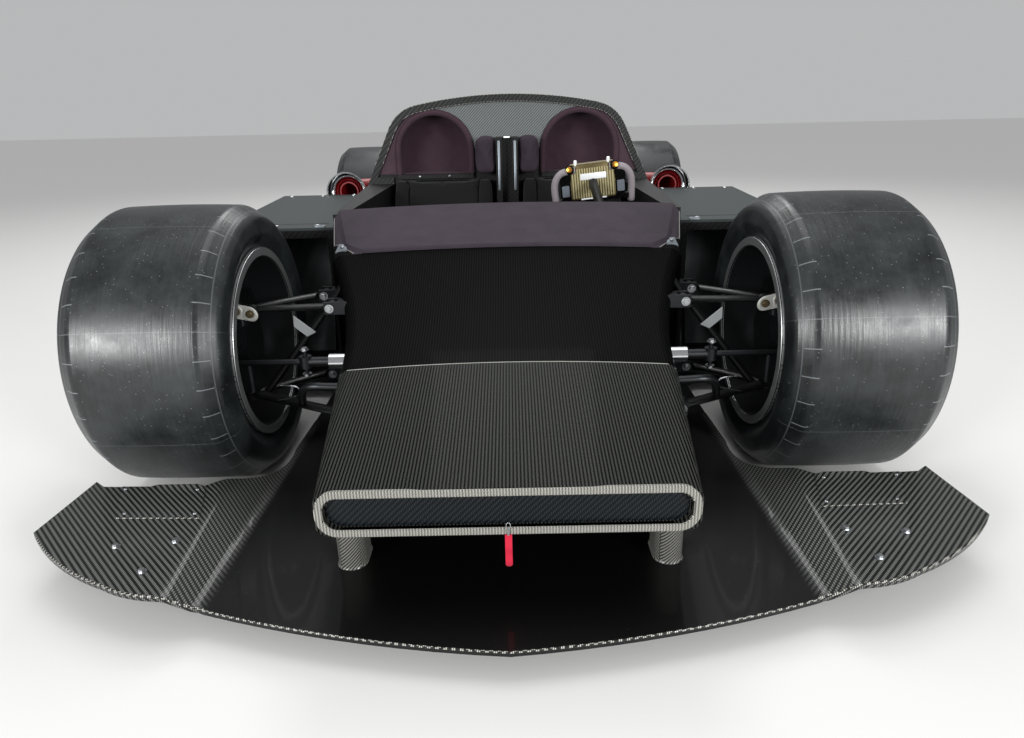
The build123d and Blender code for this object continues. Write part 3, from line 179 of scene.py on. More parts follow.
def woven(name, tow, turn, light, dark, roughness, coat, shine=0.3, mirrored=False, middle=0.0):
    """Lacquered two-by-two twill with painted sheen and shade: the two thread directions are painted pale and
    dark as their sheen, and each tow is painted darker towards its edges; it can be mirrored left to right,
    and within middle of x 0 it is painted near-black as a dark reflection, with dust specks.
    """
    material, tree, shader = surface(
        name, dark, Roughness=roughness, Specular_IOR_Level=shine, Coat_Weight=coat, Coat_Roughness=0.06)
    coords = put(tree, "TexCoord").node.outputs
    x, y, z = put(tree, "SeparateXYZ", {0: coords["Object"]}).node.outputs
    facing = put(tree, "SeparateXYZ", {0: coords["Normal"]}).node.outputs
    lean = [put(tree, "Math", {0: facing[i]}, operation="ABSOLUTE") for i in (0, 1)]
    side, front = [put(tree, "Math", {0: n, 1: 0.72}, operation="GREATER_THAN") for n in lean]
    away = put(tree, "Math", {0: x}, operation="ABSOLUTE")
    u = put(tree, "Mix", {0: side, 2: away if mirrored else x, 3: y})
    level = put(tree, "Mix", {0: front, 2: y, 3: z})
    v = put(tree, "Mix", {0: side, 2: level, 3: z})
    flat = put(tree, "CombineXYZ", {0: u, 1: v})
    turned = put(tree, "VectorRotate", {"Vector": flat, "Angle": math.radians(turn)})
    sized = put(tree, "VectorMath", {0: turned, "Scale": 1 / tow}, operation="SCALE")
    cells = put(tree, "SeparateXYZ", {0: sized}).node.outputs
    whole = [put(tree, "Math", {0: cells[i]}, operation="FLOOR") for i in (0, 1)]
    part = [put(tree, "Math", {0: cells[i]}, operation="FRACT") for i in (0, 1)]
    step = put(tree, "Math", {0: whole[0], 1: whole[1]}, operation="SUBTRACT")
    beat = put(tree, "Math", {0: step, 1: 4.0}, operation="FLOORED_MODULO")
    over = put(tree, "Math", {0: beat, 1: 2.0}, operation="LESS_THAN")
    across = put(tree, "Mix", {0: over, 2: part[1], 3: part[0]})
    hump = put(tree, "Math", {0: across, 1: math.pi}, operation="MULTIPLY")
    hump = put(tree, "Math", {0: hump}, operation="SINE")
    # Painted sheen: threads running one way are painted pale and the other way dark, as the lacquered fibres
    # reflect differently by direction
    thread = put(tree, "Mix", {0: over, 6: linear(dark), 7: linear(light)}, data_type="RGBA")
    # Painted shade and highlight: each tow is darkest at its edges, where it rounds away from the light, and
    # brightest along its crown
    shade = put(tree, "Math", {0: hump, 1: 2.0}, operation="POWER")
    shade = put(tree, "Math", {0: shade, 1: 0.95, 2: 0.05}, operation="MULTIPLY_ADD")
    colour = put(tree, "VectorMath", {0: thread, "Scale": shade}, operation="SCALE")
    if middle:
        # Painted reflection: within middle the twill gives way to near-black, standing for the dark
        # reflection of the flat gloss face; the pale specks are dust
        shown = put(tree, "MapRange", {"Value": away, "From Min": middle - 0.01, "From Max": middle + 0.02})
        hump = put(tree, "Math", {0: hump, 1: shown}, operation="MULTIPLY")
        specks = put(tree, "TexVoronoi", {"Vector": coords["Object"], "Scale": 60.0})
        dust = put(tree, "Math", {0: specks, 1: 0.055}, operation="LESS_THAN")
        dust_on_dark_reflection = put(tree, "Mix", {0: dust, 6: linear("#050505"), 7: linear("#3c3e3e")}, data_type="RGBA")
        colour = put(tree, "Mix", {0: shown, 6: dust_on_dark_reflection, 7: colour}, data_type="RGBA")
    dent = put(tree, "Bump", {"Strength": 0.35, "Distance": 0.1 * tow, "Height": hump})
    put(tree, shader, {"Base Color": colour, "Normal": dent})
    return material


def dress(finish, *nodes):
    """Gives CAD pieces a finish."""
    for node in nodes:
        for material_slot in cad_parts[node].material_slots:
            material_slot.material = finish


def meet(node, start, aim):
    """Where a straight line meets a CAD piece, with the surface's direction there, or None."""
    hit, where, normal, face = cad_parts[node].ray_cast(start, aim)
    return (where, normal) if hit else None


def top_of(node, x, y, above=2.0):
    """The height of a CAD piece's top at a place."""
    found = meet(node, (x, y, above), (0, 0, -1))
    return found[0].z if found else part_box(node)[1][2]


def skin(rows, around=False, caps=()):
    """Faces over rows of points, which can close around; caps lists the rows that are filled."""
    count = len(rows[0])
    verts = [point for row in rows for point in row]
    faces = []
    for j in range(len(rows) - 1):
        for i in range(count if around else count - 1):
            k = (i + 1) % count
            faces.append((j * count + i, j * count + k, (j + 1) * count + k, (j + 1) * count + i))
    for row in caps:
        start = row % len(rows) * count
        faces.append(tuple(range(start, start + count)))
    return verts, faces


def rim_of(rows):
    """What lies round the edge of a sheet of rows, in order."""
    inner = rows[1:-1]
    return rows[0] + [row[-1] for row in inner] + rows[-1][::-1] + [row[0] for row in reversed(inner)]


def gather(shapes):
    """Several lists of verts and faces as one."""
    verts, faces = [], []
    for some_verts, some_faces in shapes:
        faces += [tuple(i + len(verts) for i in face) for face in some_faces]
        verts += some_verts
    return verts, faces


def lathe(profile, place, axis, steps=24, facets=0):
    """A profile of (radius, along) turned about an axis; facets flattens it into a nut."""
    turn = Vector(axis).to_track_quat("Z", "Y")
    rows = []
    for radius, along in profile:
        row = []
        for i in range(steps):
            angle = 2 * math.pi * i / steps
            reach = radius
            if facets:
                slice_of = 2 * math.pi / facets
                reach = radius * math.cos(slice_of / 2) / math.cos(angle % slice_of - slice_of / 2)
            spoke = Vector((reach * math.cos(angle), reach * math.sin(angle), along))
            row.append(Vector(place) + turn @ spoke)
        rows.append(row)
    return skin(rows, around=True)


def screws(name, places, radius, finish, body, slot, hexagon=False):
    """Button-head screws, or hexagon bolts on washers, at places with their directions."""
    washer = [(0, 0), (1.35 * radius, 0), (1.35 * radius, 0.25 * radius), (0, 0.25 * radius)]
    bolt = [(radius, 0.2 * radius), (radius, 0.85 * radius), (0.85 * radius, radius), (0, radius)]
    button = [(0, 0), (radius, 0), (radius, 0.3 * radius), (0.8 * radius, 0.55 * radius)]
    button += [(0.48 * radius, 0.62 * radius), (0.44 * radius, 0.2 * radius), (0, 0.2 * radius)]
    shapes = []
    for place, axis in places:
        if hexagon:
            shapes += [lathe(washer, place, axis), lathe(bolt, place, axis, facets=6)]
        else:
            shapes.append(lathe(button, place, axis))
    return build(name, *gather(shapes), finish, body, slot)


def arc(a, b, c, steps):
    """Points along the circle through three points of a plan, without the last one."""
    (ax, ay), (bx, by), (cx, cy) = a, b, c
    d = 2 * (ax * (by - cy) + bx * (cy - ay) + cx * (ay - by))
    sa, sb, sc = ax * ax + ay * ay, bx * bx + by * by, cx * cx + cy * cy
    ux = (sa * (by - cy) + sb * (cy - ay) + sc * (ay - by)) / d
    uy = (sa * (cx - bx) + sb * (ax - cx) + sc * (bx - ax)) / d
    radius = math.hypot(ax - ux, ay - uy)
    start = math.atan2(ay - uy, ax - ux)
    sweep_of = (math.atan2(cy - uy, cx - ux) - start + math.pi) % (2 * math.pi) - math.pi
    angles = [start + sweep_of * i / steps for i in range(steps)]
    return [(ux + radius * math.cos(t), uy + radius * math.sin(t)) for t in angles]


def tube(name, points, radius, finish, body, smooth=True):
    """A round tube along points, as a curve piece."""
    curve = bpy.data.curves.new(name, "CURVE")
    curve.dimensions = "3D"
    curve.bevel_depth = radius
    curve.bevel_resolution = 3
    curve.use_fill_caps = True
    spline = curve.splines.new("NURBS" if smooth else "POLY")
    spline.points.add(len(points) - 1)
    for point, place in zip(spline.points, points):
        point.co = (*place, 1)
    if smooth:
        spline.use_endpoint_u = True
        spline.order_u = 3
    curve.materials.append(finish)
    piece = bpy.data.objects.new(name, curve)
    scene.collection.objects.link(piece)
    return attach(piece, body)


# Twill under gloss lacquer, in diagonal steps, with its two thread directions painted pale and dark as sheen;
# its middle is painted near-black as a dark reflection. The real thread is 2 mm wide; it is drawn at 3.4 mm
# so that it shows from the camera's distance
wing_twill = woven(
    "carbon_twill_gloss", 0.0034, 0, "#777a76", "#090a09", 0.42, 0.25, 0.25, mirrored=True, middle=0.56)
dress(wing_twill, "splitter")
# Bare cut edge of the laminate: pale thread ends that catch the light, in dashes 14 mm apart
edge_twill = woven("carbon_cut_edge", 0.0035, 0, "#c4c3bb", "#10110f", 0.4, 0.3)
# Plated steel: bright and a little worn
plated_steel = grained("plated_steel", "#b9bcbf", 260, 0.12, 0.0005, 3.0, Metallic=1.0, Roughness=0.28)

NOSE_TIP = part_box("splitter")[0][1]
FRONT_AXLE = sum(c[1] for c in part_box("tyre_front_left")) / 2
edge_plan = arc((0, 0), (0.317, 0.05), (0.57, 0.123), 24)
edge_plan += arc((0.57, 0.123), (0.665, 0.117), (0.75, 0.145), 10)
edge_plan += arc((0.75, 0.145), (0.88, 0.217), (0.969, 0.3), 12)
EDGE_RADIUS = 0.0026
half_edge = []
for x, back in edge_plan:
    height = top_of("splitter", x, NOSE_TIP + back + 0.012)
    half_edge.append((x, NOSE_TIP + back + 0.001, height - EDGE_RADIUS))
edge_line = [(-x, y, z) for x, y, z in reversed(half_edge)] + half_edge
tube("splitter_edge", edge_line, EDGE_RADIUS, edge_twill, CHASSIS, smooth=False)

# Panel and bolts are placed by distance from the middle and from the front axle
PANEL_FRONT = (0.652, 0.828, -0.470)
PANEL_BACK = (0.684, 0.872, -0.351)
PANEL_RISE, PANEL_FOOT, PANEL_ROUNDING, SCREW_INSET = 0.003, -0.001, 0.0015, 0.014
PANEL_ACROSS, PANEL_ALONG = 12, 8
WING_BOLTS = ((0.779, -0.562), (0.668, -0.546), (0.692, -0.636))
for sign, side in SIDES:
    layers = []
    for layer in (PANEL_RISE, PANEL_FOOT):
        rows = []
        for j in range(PANEL_ALONG + 1):
            lo, hi, y = [f + (b - f) * j / PANEL_ALONG for f, b in zip(PANEL_FRONT, PANEL_BACK)]
            row = []
            for i in range(PANEL_ACROSS + 1):
                at_rim = i in (0, PANEL_ACROSS) or j in (0, PANEL_ALONG)
                lift = layer - PANEL_ROUNDING if layer == PANEL_RISE and at_rim else layer
                x = sign * (lo + (hi - lo) * i / PANEL_ACROSS)
                row.append((x, FRONT_AXLE + y, top_of("splitter", x, FRONT_AXLE + y) + lift))
            rows.append(row)
        layers.append(rows)
    upper, lower = layers
    shape = gather([skin(upper), skin(lower), skin([rim_of(upper), rim_of(lower)], True)])
    build(f"access_panel_{side}", *shape, wing_twill, CHASSIS, "carbon")
    tube(f"access_panel_edge_{side}", upper[0], 0.0014, edge_twill, CHASSIS, smooth=False)
    corner_screws = []
    for (lo, hi, y), inward in ((PANEL_FRONT, SCREW_INSET), (PANEL_BACK, -SCREW_INSET)):
        for x in (lo + SCREW_INSET, hi - SCREW_INSET):
            place = (sign * x, FRONT_AXLE + y + inward)
            corner_screws.append(((*place, top_of("splitter", *place) + PANEL_RISE), (0, 0, 1)))
    screws(f"access_panel_screws_{side}", corner_screws, 0.0045, plated_steel, CHASSIS, "steel")
    wing_bolts = []
    for x, y in WING_BOLTS:
        place = (sign * x, FRONT_AXLE + y)
        wing_bolts.append(((*place, top_of("splitter", *place)), (0, 0, 1)))
    screws(f"wing_bolts_{side}", wing_bolts, 0.0065, plated_steel, CHASSIS, "steel", hexagon=True)

# Nose box: a carbon crash box, laid up with its threads lengthwise and lacquered dark.
# A pale bonded flange runs round its front, and a blue-black twill plate closes it.


def rounded(length, height, radius, each=10):
    """A rounded rectangle's outline about (0, 0), with the same number of points at any size."""
    outline = []
    for turn, (sx, sy) in enumerate(((1, 1), (-1, 1), (-1, -1), (1, -1))):
        for i in range(each + 1):
            angle = math.pi / 2 * (turn + i / each)
            x = sx * (length / 2 - radius) + radius * math.cos(angle)
            outline.append((x, sy * (height / 2 - radius) + radius * math.sin(angle)))
    return outline


def stepped(length, height, radius, levels, place, ease=1.0, each=10):
    """Loops of a rounded rectangle, drawn in by the inset of each level; place sets them on the car."""
    loops = []
    for inset, level in levels:
        outline = rounded(length - 2 * inset, height - 2 * inset, radius - ease * inset, each)
        loops.append([place(x, y, level) for x, y in outline])
    return loops


# Cloth laid on the bias, so that its twill lines run lengthwise 6.5 mm apart
nose_weave = woven("carbon_bias_gloss", 0.0023, -45, "#4d4f4b", "#020202", 0.45, 0.015, 0.03)
dress(nose_weave, "nose_box")
# The same cloth, painted darker as shade: the footwell is seen flatter and stays nearly black
footwell_weave_shaded = woven("carbon_bias_painted_shade", 0.0023, -45, "#1a1b1a", "#010101", 0.5, 0.01, 0.015)
dress(footwell_weave_shaded, "footwell")
# Flange laminate: pale glass and carbon threads in clear resin
flange_weave = woven("flange_laminate", 0.0019, -45, "#c6c5bd", "#85847c", 0.5, 0.2)
# Closing plate: blue-black twill at forty-five degrees, satin
face_twill = woven("carbon_blue_twill", 0.0030, 0, "#222a30", "#0a0d0f", 0.45, 0.06, 0.15)
# Structural adhesive: a thin grey line, cured in small lumps
adhesive = grained("structural_adhesive", "#8e8f8a", 300, 0.3, 0.0006, Roughness=0.6)

NOSE_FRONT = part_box("nose_box")[0][1]
FACE_LENGTH, FACE_HEIGHT, FACE_MIDDLE, FACE_DEPTH = 0.648, 0.062, 0.243, 0.010
FLANGE_STEPS = (
    (-0.015, 0.004), (-0.015, -0.001), (-0.013, -0.003), (-0.002, -0.003), (0, -0.001), (0, 0.008))
flange_loops = stepped(
    FACE_LENGTH, FACE_HEIGHT, FACE_HEIGHT / 2 - 0.006, FLANGE_STEPS,
    lambda x, z, proud: (x, NOSE_FRONT + proud, FACE_MIDDLE + z))
build("nose_flange", *skin(flange_loops, True), flange_weave, CHASSIS, "carbon")
outline = rounded(FACE_LENGTH - 0.002, FACE_HEIGHT - 0.002, FACE_HEIGHT / 2 - 0.002)
plate_loops = []
for shrink, proud in ((1, 0.001), (0.985, -0.0006), (0.9, -0.001)):
    depth = NOSE_FRONT + FACE_DEPTH + proud
    plate_loops.append([(x * shrink, depth, FACE_MIDDLE + z * shrink) for x, z in outline])
build("nose_plate", *skin(plate_loops, True, (-1,)), face_twill, CHASSIS, "carbon")
SEAM_HALF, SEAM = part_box("nose_box")[1][:2]
seam_line = []
for i in range(41):
    x = SEAM_HALF * 0.985 * (i / 20 - 1)
    seam_line.append((x, SEAM, top_of("nose_box", x, SEAM - 0.001)))
tube("nose_seam", seam_line, 0.0012, adhesive, CHASSIS, smooth=False)

# Pylons: two braided carbon columns that hold the nose box above the splitter.
# The braid is pale and round; a bead of laminate joins each foot to the splitter.
braid = woven("carbon_braid", 0.0018, 0, "#a9a9a2", "#22231f", 0.45, 0.2)
dress(braid, "nose_pylons")
PYLON_X, PYLON_Y, PYLON_WIDTH, PYLON_LENGTH = 0.313, -1.803, 0.056, 0.095
SPLITTER_TOP = top_of("splitter", 0, PYLON_Y)
FOOT_STEPS = ((-0.0025, -0.0005), (-0.002, 0.001), (-0.0005, 0.003), (0, 0.005))
for sign, side in SIDES:
    foot = stepped(
        PYLON_WIDTH, PYLON_LENGTH, PYLON_WIDTH / 2 - 0.001, FOOT_STEPS,
        lambda x, y, rise: (sign * PYLON_X + x, PYLON_Y + y, SPLITTER_TOP + rise))
    build(f"pylon_foot_{side}", *skin(foot, True), braid, CHASSIS, "carbon")

# Tow strap: a tongue of red polyester webbing, sewn flat with a rounded end.
# It hangs under the nose's flange from a thin loop of plated wire.
webbing, tree, shader = surface(
    "red_webbing", "#c40b34", Roughness=0.7, Sheen_Weight=0.06, Sheen_Roughness=0.4)
# Ribs 2 mm apart: webbing's cross threads
coords = put(tree, "TexCoord").node.outputs
ribs = {"Vector": coords["Object"], "Scale": 160.0, "Distortion": 0.4}
rib = put(tree, "TexWave", ribs, bands_direction="Z")
put(tree, shader, {"Normal": put(tree, "Bump", {"Strength": 0.6, "Distance": 0.0006, "Height": rib})})
STRAP_LOW, STRAP_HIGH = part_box("tow_strap")
strap_middle = (STRAP_LOW + STRAP_HIGH) / 2
TAPE_HALF = (STRAP_HIGH[0] - STRAP_LOW[0]) / 2
FLANGE_FOOT = FACE_MIDDLE - FACE_HEIGHT / 2 - 0.014
STRAP_STEPS = 30
section = rounded(2 * TAPE_HALF, 0.0034, 0.0016, each=4)
strap_loops = []
for i in range(STRAP_STEPS + 1):
    t = i / STRAP_STEPS
    z = STRAP_LOW[2] + t * (FLANGE_FOOT - STRAP_LOW[2])
    bow = -0.0025 * math.sin(math.pi * t) - 0.0015 * math.sin(4 * math.pi * t)
    short = max(1 - (z - STRAP_LOW[2] + 0.001) / TAPE_HALF, 0)
    narrow = math.sqrt(1 - short ** 2)
    strap_loops.append([(strap_middle.x + x * narrow, strap_middle.y + y + bow, z) for x, y in section])
strap = build("tow_webbing", *skin(strap_loops, True, (0, -1)), webbing, CHASSIS, "red_webbing")
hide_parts("tow_strap")
half_wire = [(0.0010, 0), (0.0012, 0.012), (0.0042, 0.019), (0.0030, 0.0245)]
wire = [(-x, z) for x, z in half_wire] + [(0, 0.0262)] + half_wire[::-1]
wire_line = [(strap_middle.x + x, STRAP_LOW[1] - 0.0022, FLANGE_FOOT + z) for x, z in wire]
tube("tow_wire", wire_line, 0.0009, plated_steel, CHASSIS)

# Tub: carbon sandwich panels, lacquered outside and satin inside the cockpit, with a roll hoop
# whose cut edges show. Grey anodised brackets sit on its front corners.
tub_twill = woven("carbon_twill_satin", 0.005, 0, "#232424", "#0a0a0a", 0.5, 0.1)
dress(tub_twill, "tub", "rear_bulkhead")
hoop_twill = woven("carbon_twill_hoop", 0.005, 0, "#3c3f3d", "#121313", 0.38, 0.3)
dress(hoop_twill, "roll_hoop")
# Anodised aluminium: matt blue-grey
anodised = grained("grey_anodised", "#8b9299", 500, 0.1, 0.0004, Metallic=0.7, Roughness=0.42)
HOOP_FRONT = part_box("roll_hoop")[0][1]
HOOP_CENTRE = Vector((0, HOOP_FRONT + 0.002, 0.655))
for name, start in (("hoop_edge_outer", 1.0), ("hoop_edge_inner", 0.0)):
    line = []
    for i in range(61):
        angle = math.pi * (0.02 + 0.96 * i / 60)
        spoke = Vector((math.cos(angle), 0, math.sin(angle)))
        found = meet("roll_hoop", HOOP_CENTRE + start * spoke, -spoke if start else spoke)
        if found:
            line.append(found[0] + Vector((0, -0.0015, 0)))
    tube(name, line, 0.0014, edge_twill, CHASSIS, smooth=False)
BRACKET_Y = FRONT_AXLE + 0.2
BRACKET_PLAN = ((0.440, -0.020), (0.474, -0.014), (0.470, 0.022), (0.448, 0.016))
for sign, side in SIDES:
    places = [(sign * x, BRACKET_Y + y) for x, y in BRACKET_PLAN]
    loops = [[(*place, top_of("footwell", *place) + lift) for place in places] for lift in (0.0045, -0.004)]
    build(f"corner_bracket_{side}", *skin(loops, True, (0, -1)), anodised, CHASSIS, "aluminium")
    place = (sign * 0.457, BRACKET_Y)
    bolt = ((*place, top_of("footwell", *place) + 0.004), (sign * 0.3, 0, 1))
    screws(f"corner_bracket_bolt_{side}", [bolt], 0.005, plated_steel, CHASSIS, "steel")

# Cowl panel: a thin shell in front of the cockpit, covered in purple-grey suede.
# The suede is stretched over the crowned panel and turned under at a rolled edge.


def suede(name, colour, behind=None):
    """Brushed suede: matt, with pale nap patches and a fine pile; a face to the rear can be bare."""
    nap_scale, pile_scale = 16.0, 420.0
    material, tree, shader = surface(
        name, colour, Roughness=0.95, Specular_IOR_Level=0.08, Sheen_Weight=0.06, Sheen_Roughness=0.5,
        Sheen_Tint=linear("#c9bcc8"))
    where = put(tree, "TexCoord").node.outputs["Object"]
    nap = put(tree, "TexNoise", {"Vector": where, "Scale": nap_scale, "Detail": 3.0, "Distortion": 0.6})
    fuzz = put(tree, "TexNoise", {"Vector": where, "Scale": pile_scale, "Detail": 4.0})
    mottle = put(tree, "Math", {0: nap, 1: 0.5, 2: 0.55}, operation="MULTIPLY_ADD")
    speck = put(tree, "Math", {0: fuzz, 1: 0.5, 2: -0.05}, operation="MULTIPLY_ADD")
    shade = put(tree, "Math", {0: mottle, 1: speck}, operation="ADD")
    tone = put(tree, "VectorMath", {0: linear(colour)[:3], "Scale": shade}, operation="SCALE")
    if behind:
        true_normal = put(tree, "NewGeometry").node.outputs["True Normal"]
        facing = put(tree, "SeparateXYZ", {0: true_normal}).node.outputs
        rear = put(tree, "Math", {0: facing[1], 1: 0.1}, operation="GREATER_THAN")
        tone = put(tree, "Mix", {0: rear, 6: tone, 7: linear(behind)}, data_type="RGBA")
    dent = put(tree, "Bump", {"Strength": 0.5, "Distance": 0.0012, "Height": fuzz})
    put(tree, shader, {"Base Color": tone, "Normal": dent})
    return material


cowl_suede = suede("suede_purple_grey", "#39333a")
COWL_LOW, COWL_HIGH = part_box("cowl_panel")
EDGE_STEPS = ((0, 0), (0.0018, -0.0018), (0.0030, -0.006), (0.0026, -0.011))
ACROSS, FLAP, DEEP = 56, 4, 24
LAST = ACROSS + 2 * FLAP
cowl_rows, outward = [], []
for j in range(DEEP + 1):
    t = j / DEEP
    y = COWL_LOW[1] + 0.004 + t * (COWL_HIGH[1] - COWL_LOW[1] - 0.008)
    half = 0.394 + 0.050 * min(t / 0.145, 1) + 0.068 * max(t - 0.145, 0) / 0.855
    outer = min(0.418 + 0.25 * t, 0.472 + 0.059 * t)
    shoulder = [half + 0.010 + (outer - half - 0.010) * k / (FLAP - 1) for k in range(FLAP)]
    row = [(-x, "footwell") for x in reversed(shoulder)]
    row += [(half * (2 * i / ACROSS - 1), "cowl_panel") for i in range(ACROSS + 1)]
    row += [(x, "footwell") for x in shoulder]
    cowl_rows.append([Vector((x, y, top_of(node, x, y) + 0.0014)) for x, node in row])
    outward.append([Vector(((i == LAST) - (i == 0), (j == DEEP) - (j == 0), 0)) for i in range(LAST + 1)])
rim = list(zip(rim_of(cowl_rows), rim_of(outward)))
edge_loops = [[point + out * way + Vector((0, 0, drop)) for point, way in rim] for out, drop in EDGE_STEPS]
shape = gather([skin(cowl_rows), skin(edge_loops, True)])
cowl = build("cowl_suede", *shape, cowl_suede, CHASSIS, "suede", sharp=30)
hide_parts("cowl_panel")
for column, side in ((LAST, "left"), (0, "right")):
    line = [row[column] for row in cowl_rows]
    tube(f"cowl_edge_{side}", line, 0.0012, adhesive, CHASSIS, smooth=False)

# Rear of the cockpit: two arched head niches lined in maroon suede, each with a suede floor
# and a padded roll; pale twill fills the panel between them and suede strips the outer sides.
niche_suede = suede("suede_maroon", "#44343c")
dress(suede("suede_maroon_lining", "#44343c", "#141515"), "head_pockets")
strip_suede = suede("suede_plum", "#4a3b43")
panel_twill = woven("carbon_twill_pale", 0.003, 0, "#a2a9a9", "#666b6b", 0.45, 0.2)
BULKHEAD = HOOP_FRONT + 0.014
HOOP_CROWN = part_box("roll_hoop")[1][2]
NICHE_X, NICHE_Z, NICHE_FOOT = 0.314, 0.744, 0.650
PANEL_ARCH, STRIP_ARCH, ROLL_RADIUS = 0.172, 0.168, 0.1595
BACKWARD = Vector((0, 1, 0))
panel_columns = []
for i in range(72, -1, -1):
    x = 0.302 * (i / 36 - 1)
    inside = PANEL_ARCH ** 2 - (abs(x) - NICHE_X) ** 2 if abs(x) > NICHE_X - PANEL_ARCH else 0
    low = NICHE_Z + math.sqrt(inside) if inside > 0 else 0.735
    found = meet("roll_hoop", (x, BULKHEAD - 0.006, 0.85), (0, 0, 1))
    high = found[0].z if found else HOOP_CROWN - 0.03
    panel_columns.append([(x, BULKHEAD - 0.0015, low + (high - low) * j / 8) for j in range(9)])
build("bulkhead_panel", *skin(panel_columns), panel_twill, CHASSIS, "carbon")
for sign, side in SIDES:
    strip_rows = []
    for j in range(31):
        z = 0.652 + 0.250 * j / 30
        inner = NICHE_X + math.sqrt(max(STRIP_ARCH ** 2 - max(z - NICHE_Z, 0) ** 2, 0.0004))
        found = meet("roll_hoop", (sign * inner, BULKHEAD - 0.006, z), (sign, 0, 0))
        outer = abs(found[0].x) if found else inner + 0.01
        row = []
        for i in range(9):
            bulge = 0.004 * math.sin(math.pi * i / 8)
            row.append((sign * (inner + (outer - inner) * i / 8), BULKHEAD - 0.002 - bulge, z))
        strip_rows.append(row)
    build(f"niche_side_{side}", *skin(strip_rows), strip_suede, CHASSIS, "suede")
    floor_loops = []
    for z in (NICHE_FOOT + 0.0005, NICHE_FOOT + 0.0035):
        back = []
        for i in range(25):
            x = sign * (NICHE_X + 0.146 * (i / 12 - 1))
            found = meet("head_pockets", (x, BULKHEAD, NICHE_FOOT + 0.01), BACKWARD)
            back.append((x, found[0].y + 0.001 if found else BULKHEAD + 0.01, z))
        floor_loops.append(back + [(x, BULKHEAD + 0.002, z) for x, y, z in reversed(back)])
    build(f"niche_floor_{side}", *skin(floor_loops, True, (0, -1)), niche_suede, CHASSIS, "suede")
    bends = [math.pi * i / 40 for i in range(41)]
    arch = [(ROLL_RADIUS * math.cos(t), NICHE_Z + ROLL_RADIUS * math.sin(t)) for t in bends]
    arch = [(ROLL_RADIUS, NICHE_FOOT)] + arch + [(-ROLL_RADIUS, NICHE_FOOT)]
    path = [Vector((sign * NICHE_X + x, BULKHEAD - 0.006, z)) for x, z in arch]
    roll_loops = []
    for i, point in enumerate(path):
        ahead = path[min(i + 1, len(path) - 1)] - path[max(i - 1, 0)]
        out = ahead.cross(BACKWARD).normalized()
        ripple = 1 + 0.02 * math.sin(2.1 * i) * math.sin(0.7 * i)
        angles = [2 * math.pi * k / 16 for k in range(16)]
        roll_loops.append([
            point + ripple * (0.0125 * math.cos(k) * out + 0.0115 * math.sin(k) * BACKWARD) for k in angles])
    roll = build(f"niche_roll_{side}", *skin(roll_loops, True), niche_suede, CHASSIS, "suede")
    latches = [
        ((sign * (NICHE_X + offset), BULKHEAD - 0.0245, 0.641), (0, -1, 0)) for offset in (-0.06, 0.07)]
    screws(f"ledge_latches_{side}", latches, 0.006, plated_steel, CHASSIS, "steel")
    where = meet("roll_hoop", (sign * 0.9, HOOP_FRONT + 0.03, 0.66), (-sign, 0, 0))[0]
    screws(f"hoop_latch_{side}", [(where, (sign, 0, 0.3))], 0.009, anodised, CHASSIS, "aluminium")

# Centre spine: a carbon box between the seats with two grey aluminium rails on its front.
# A small white lamp sits on top and purple suede pads stand on both sides of it.
dress(tub_twill, "centre_spine")
# Lamp glass: a small white lens, moulded in fine prisms
lens = grained(
    "white_lens", "#f4f5f2", 400, 0.2, 0.0005, cells=True, Roughness=0.15, Emission_Strength=0.35,
    Emission_Color=linear("#ffffff"))
SPINE_LOW, SPINE_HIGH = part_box("centre_spine")
rail_shapes = []
for middle in (-0.0335, 0.0335):
    loops = stepped(
        0.010, 0.20, 0.003, ((0, 0.001), (0, -0.002), (0.001, -0.003)),
        lambda x, z, out: (middle + x, SPINE_LOW[1] + out, SPINE_HIGH[2] - 0.112 + z), ease=0)
    rail_shapes.append(skin(loops, True, (-1,)))
build("spine_rails", *gather(rail_shapes), anodised, CHASSIS, "aluminium")
loops = stepped(
    0.026, 0.008, 0.0028, ((0, -0.001), (0, 0.003), (0.001, 0.0045)),
    lambda x, y, rise: (x, SPINE_LOW[1] + 0.008 + y, SPINE_HIGH[2] + rise), ease=0)
build("spine_lamp", *skin(loops, True, (-1,)), lens, CHASSIS, "aluminium")
FILL_FRAMES = 20


def stuffed(name, size, place, voxel, most, finish):
    """A stuffed cover: a rounded box filled by a short pressure simulation, then set in place."""
    shape = bmesh.new()
    bmesh.ops.create_cube(shape, size=1)
    bmesh.ops.scale(shape, vec=size, verts=shape.verts)
    bmesh.ops.bevel(
        shape, geom=shape.edges[:], offset=0.28 * min(size), segments=4, profile=0.6, affect="EDGES")
    mesh = bpy.data.meshes.new(name)
    shape.to_mesh(mesh)
    shape.free()
    mesh.transform(place)
    mesh.materials.append(finish)
    pad = bpy.data.objects.new(name, mesh)
    scene.collection.objects.link(pad)
    remesh = pad.modifiers.new("remesh", "REMESH")
    remesh.voxel_size = voxel
    remesh.use_smooth_shade = True
    graph = bpy.context.evaluated_depsgraph_get()
    even = bpy.data.meshes.new_from_object(pad.evaluated_get(graph))
    pad.modifiers.clear()
    pad.data = even
    start = [v.co.copy() for v in even.vertices]
    cloth = pad.modifiers.new("cloth", "CLOTH")
    cloth.settings.use_pressure = True
    cloth.settings.uniform_pressure_force = 4
    cloth.settings.effector_weights.gravity = 0
    cloth.point_cache.frame_end = FILL_FRAMES
    for number in range(1, FILL_FRAMES + 1):
        scene.frame_set(number)
    graph = bpy.context.evaluated_depsgraph_get()
    filled = bpy.data.meshes.new_from_object(pad.evaluated_get(graph))
    pad.modifiers.clear()
    for v, before in zip(filled.vertices, start):
        move = v.co - before
        if move.length > most:
            v.co = before + move * (most / move.length)
    pad.data = filled
    scene.frame_set(1)
    pad.data.shade_smooth()
    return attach(pad, CHASSIS)


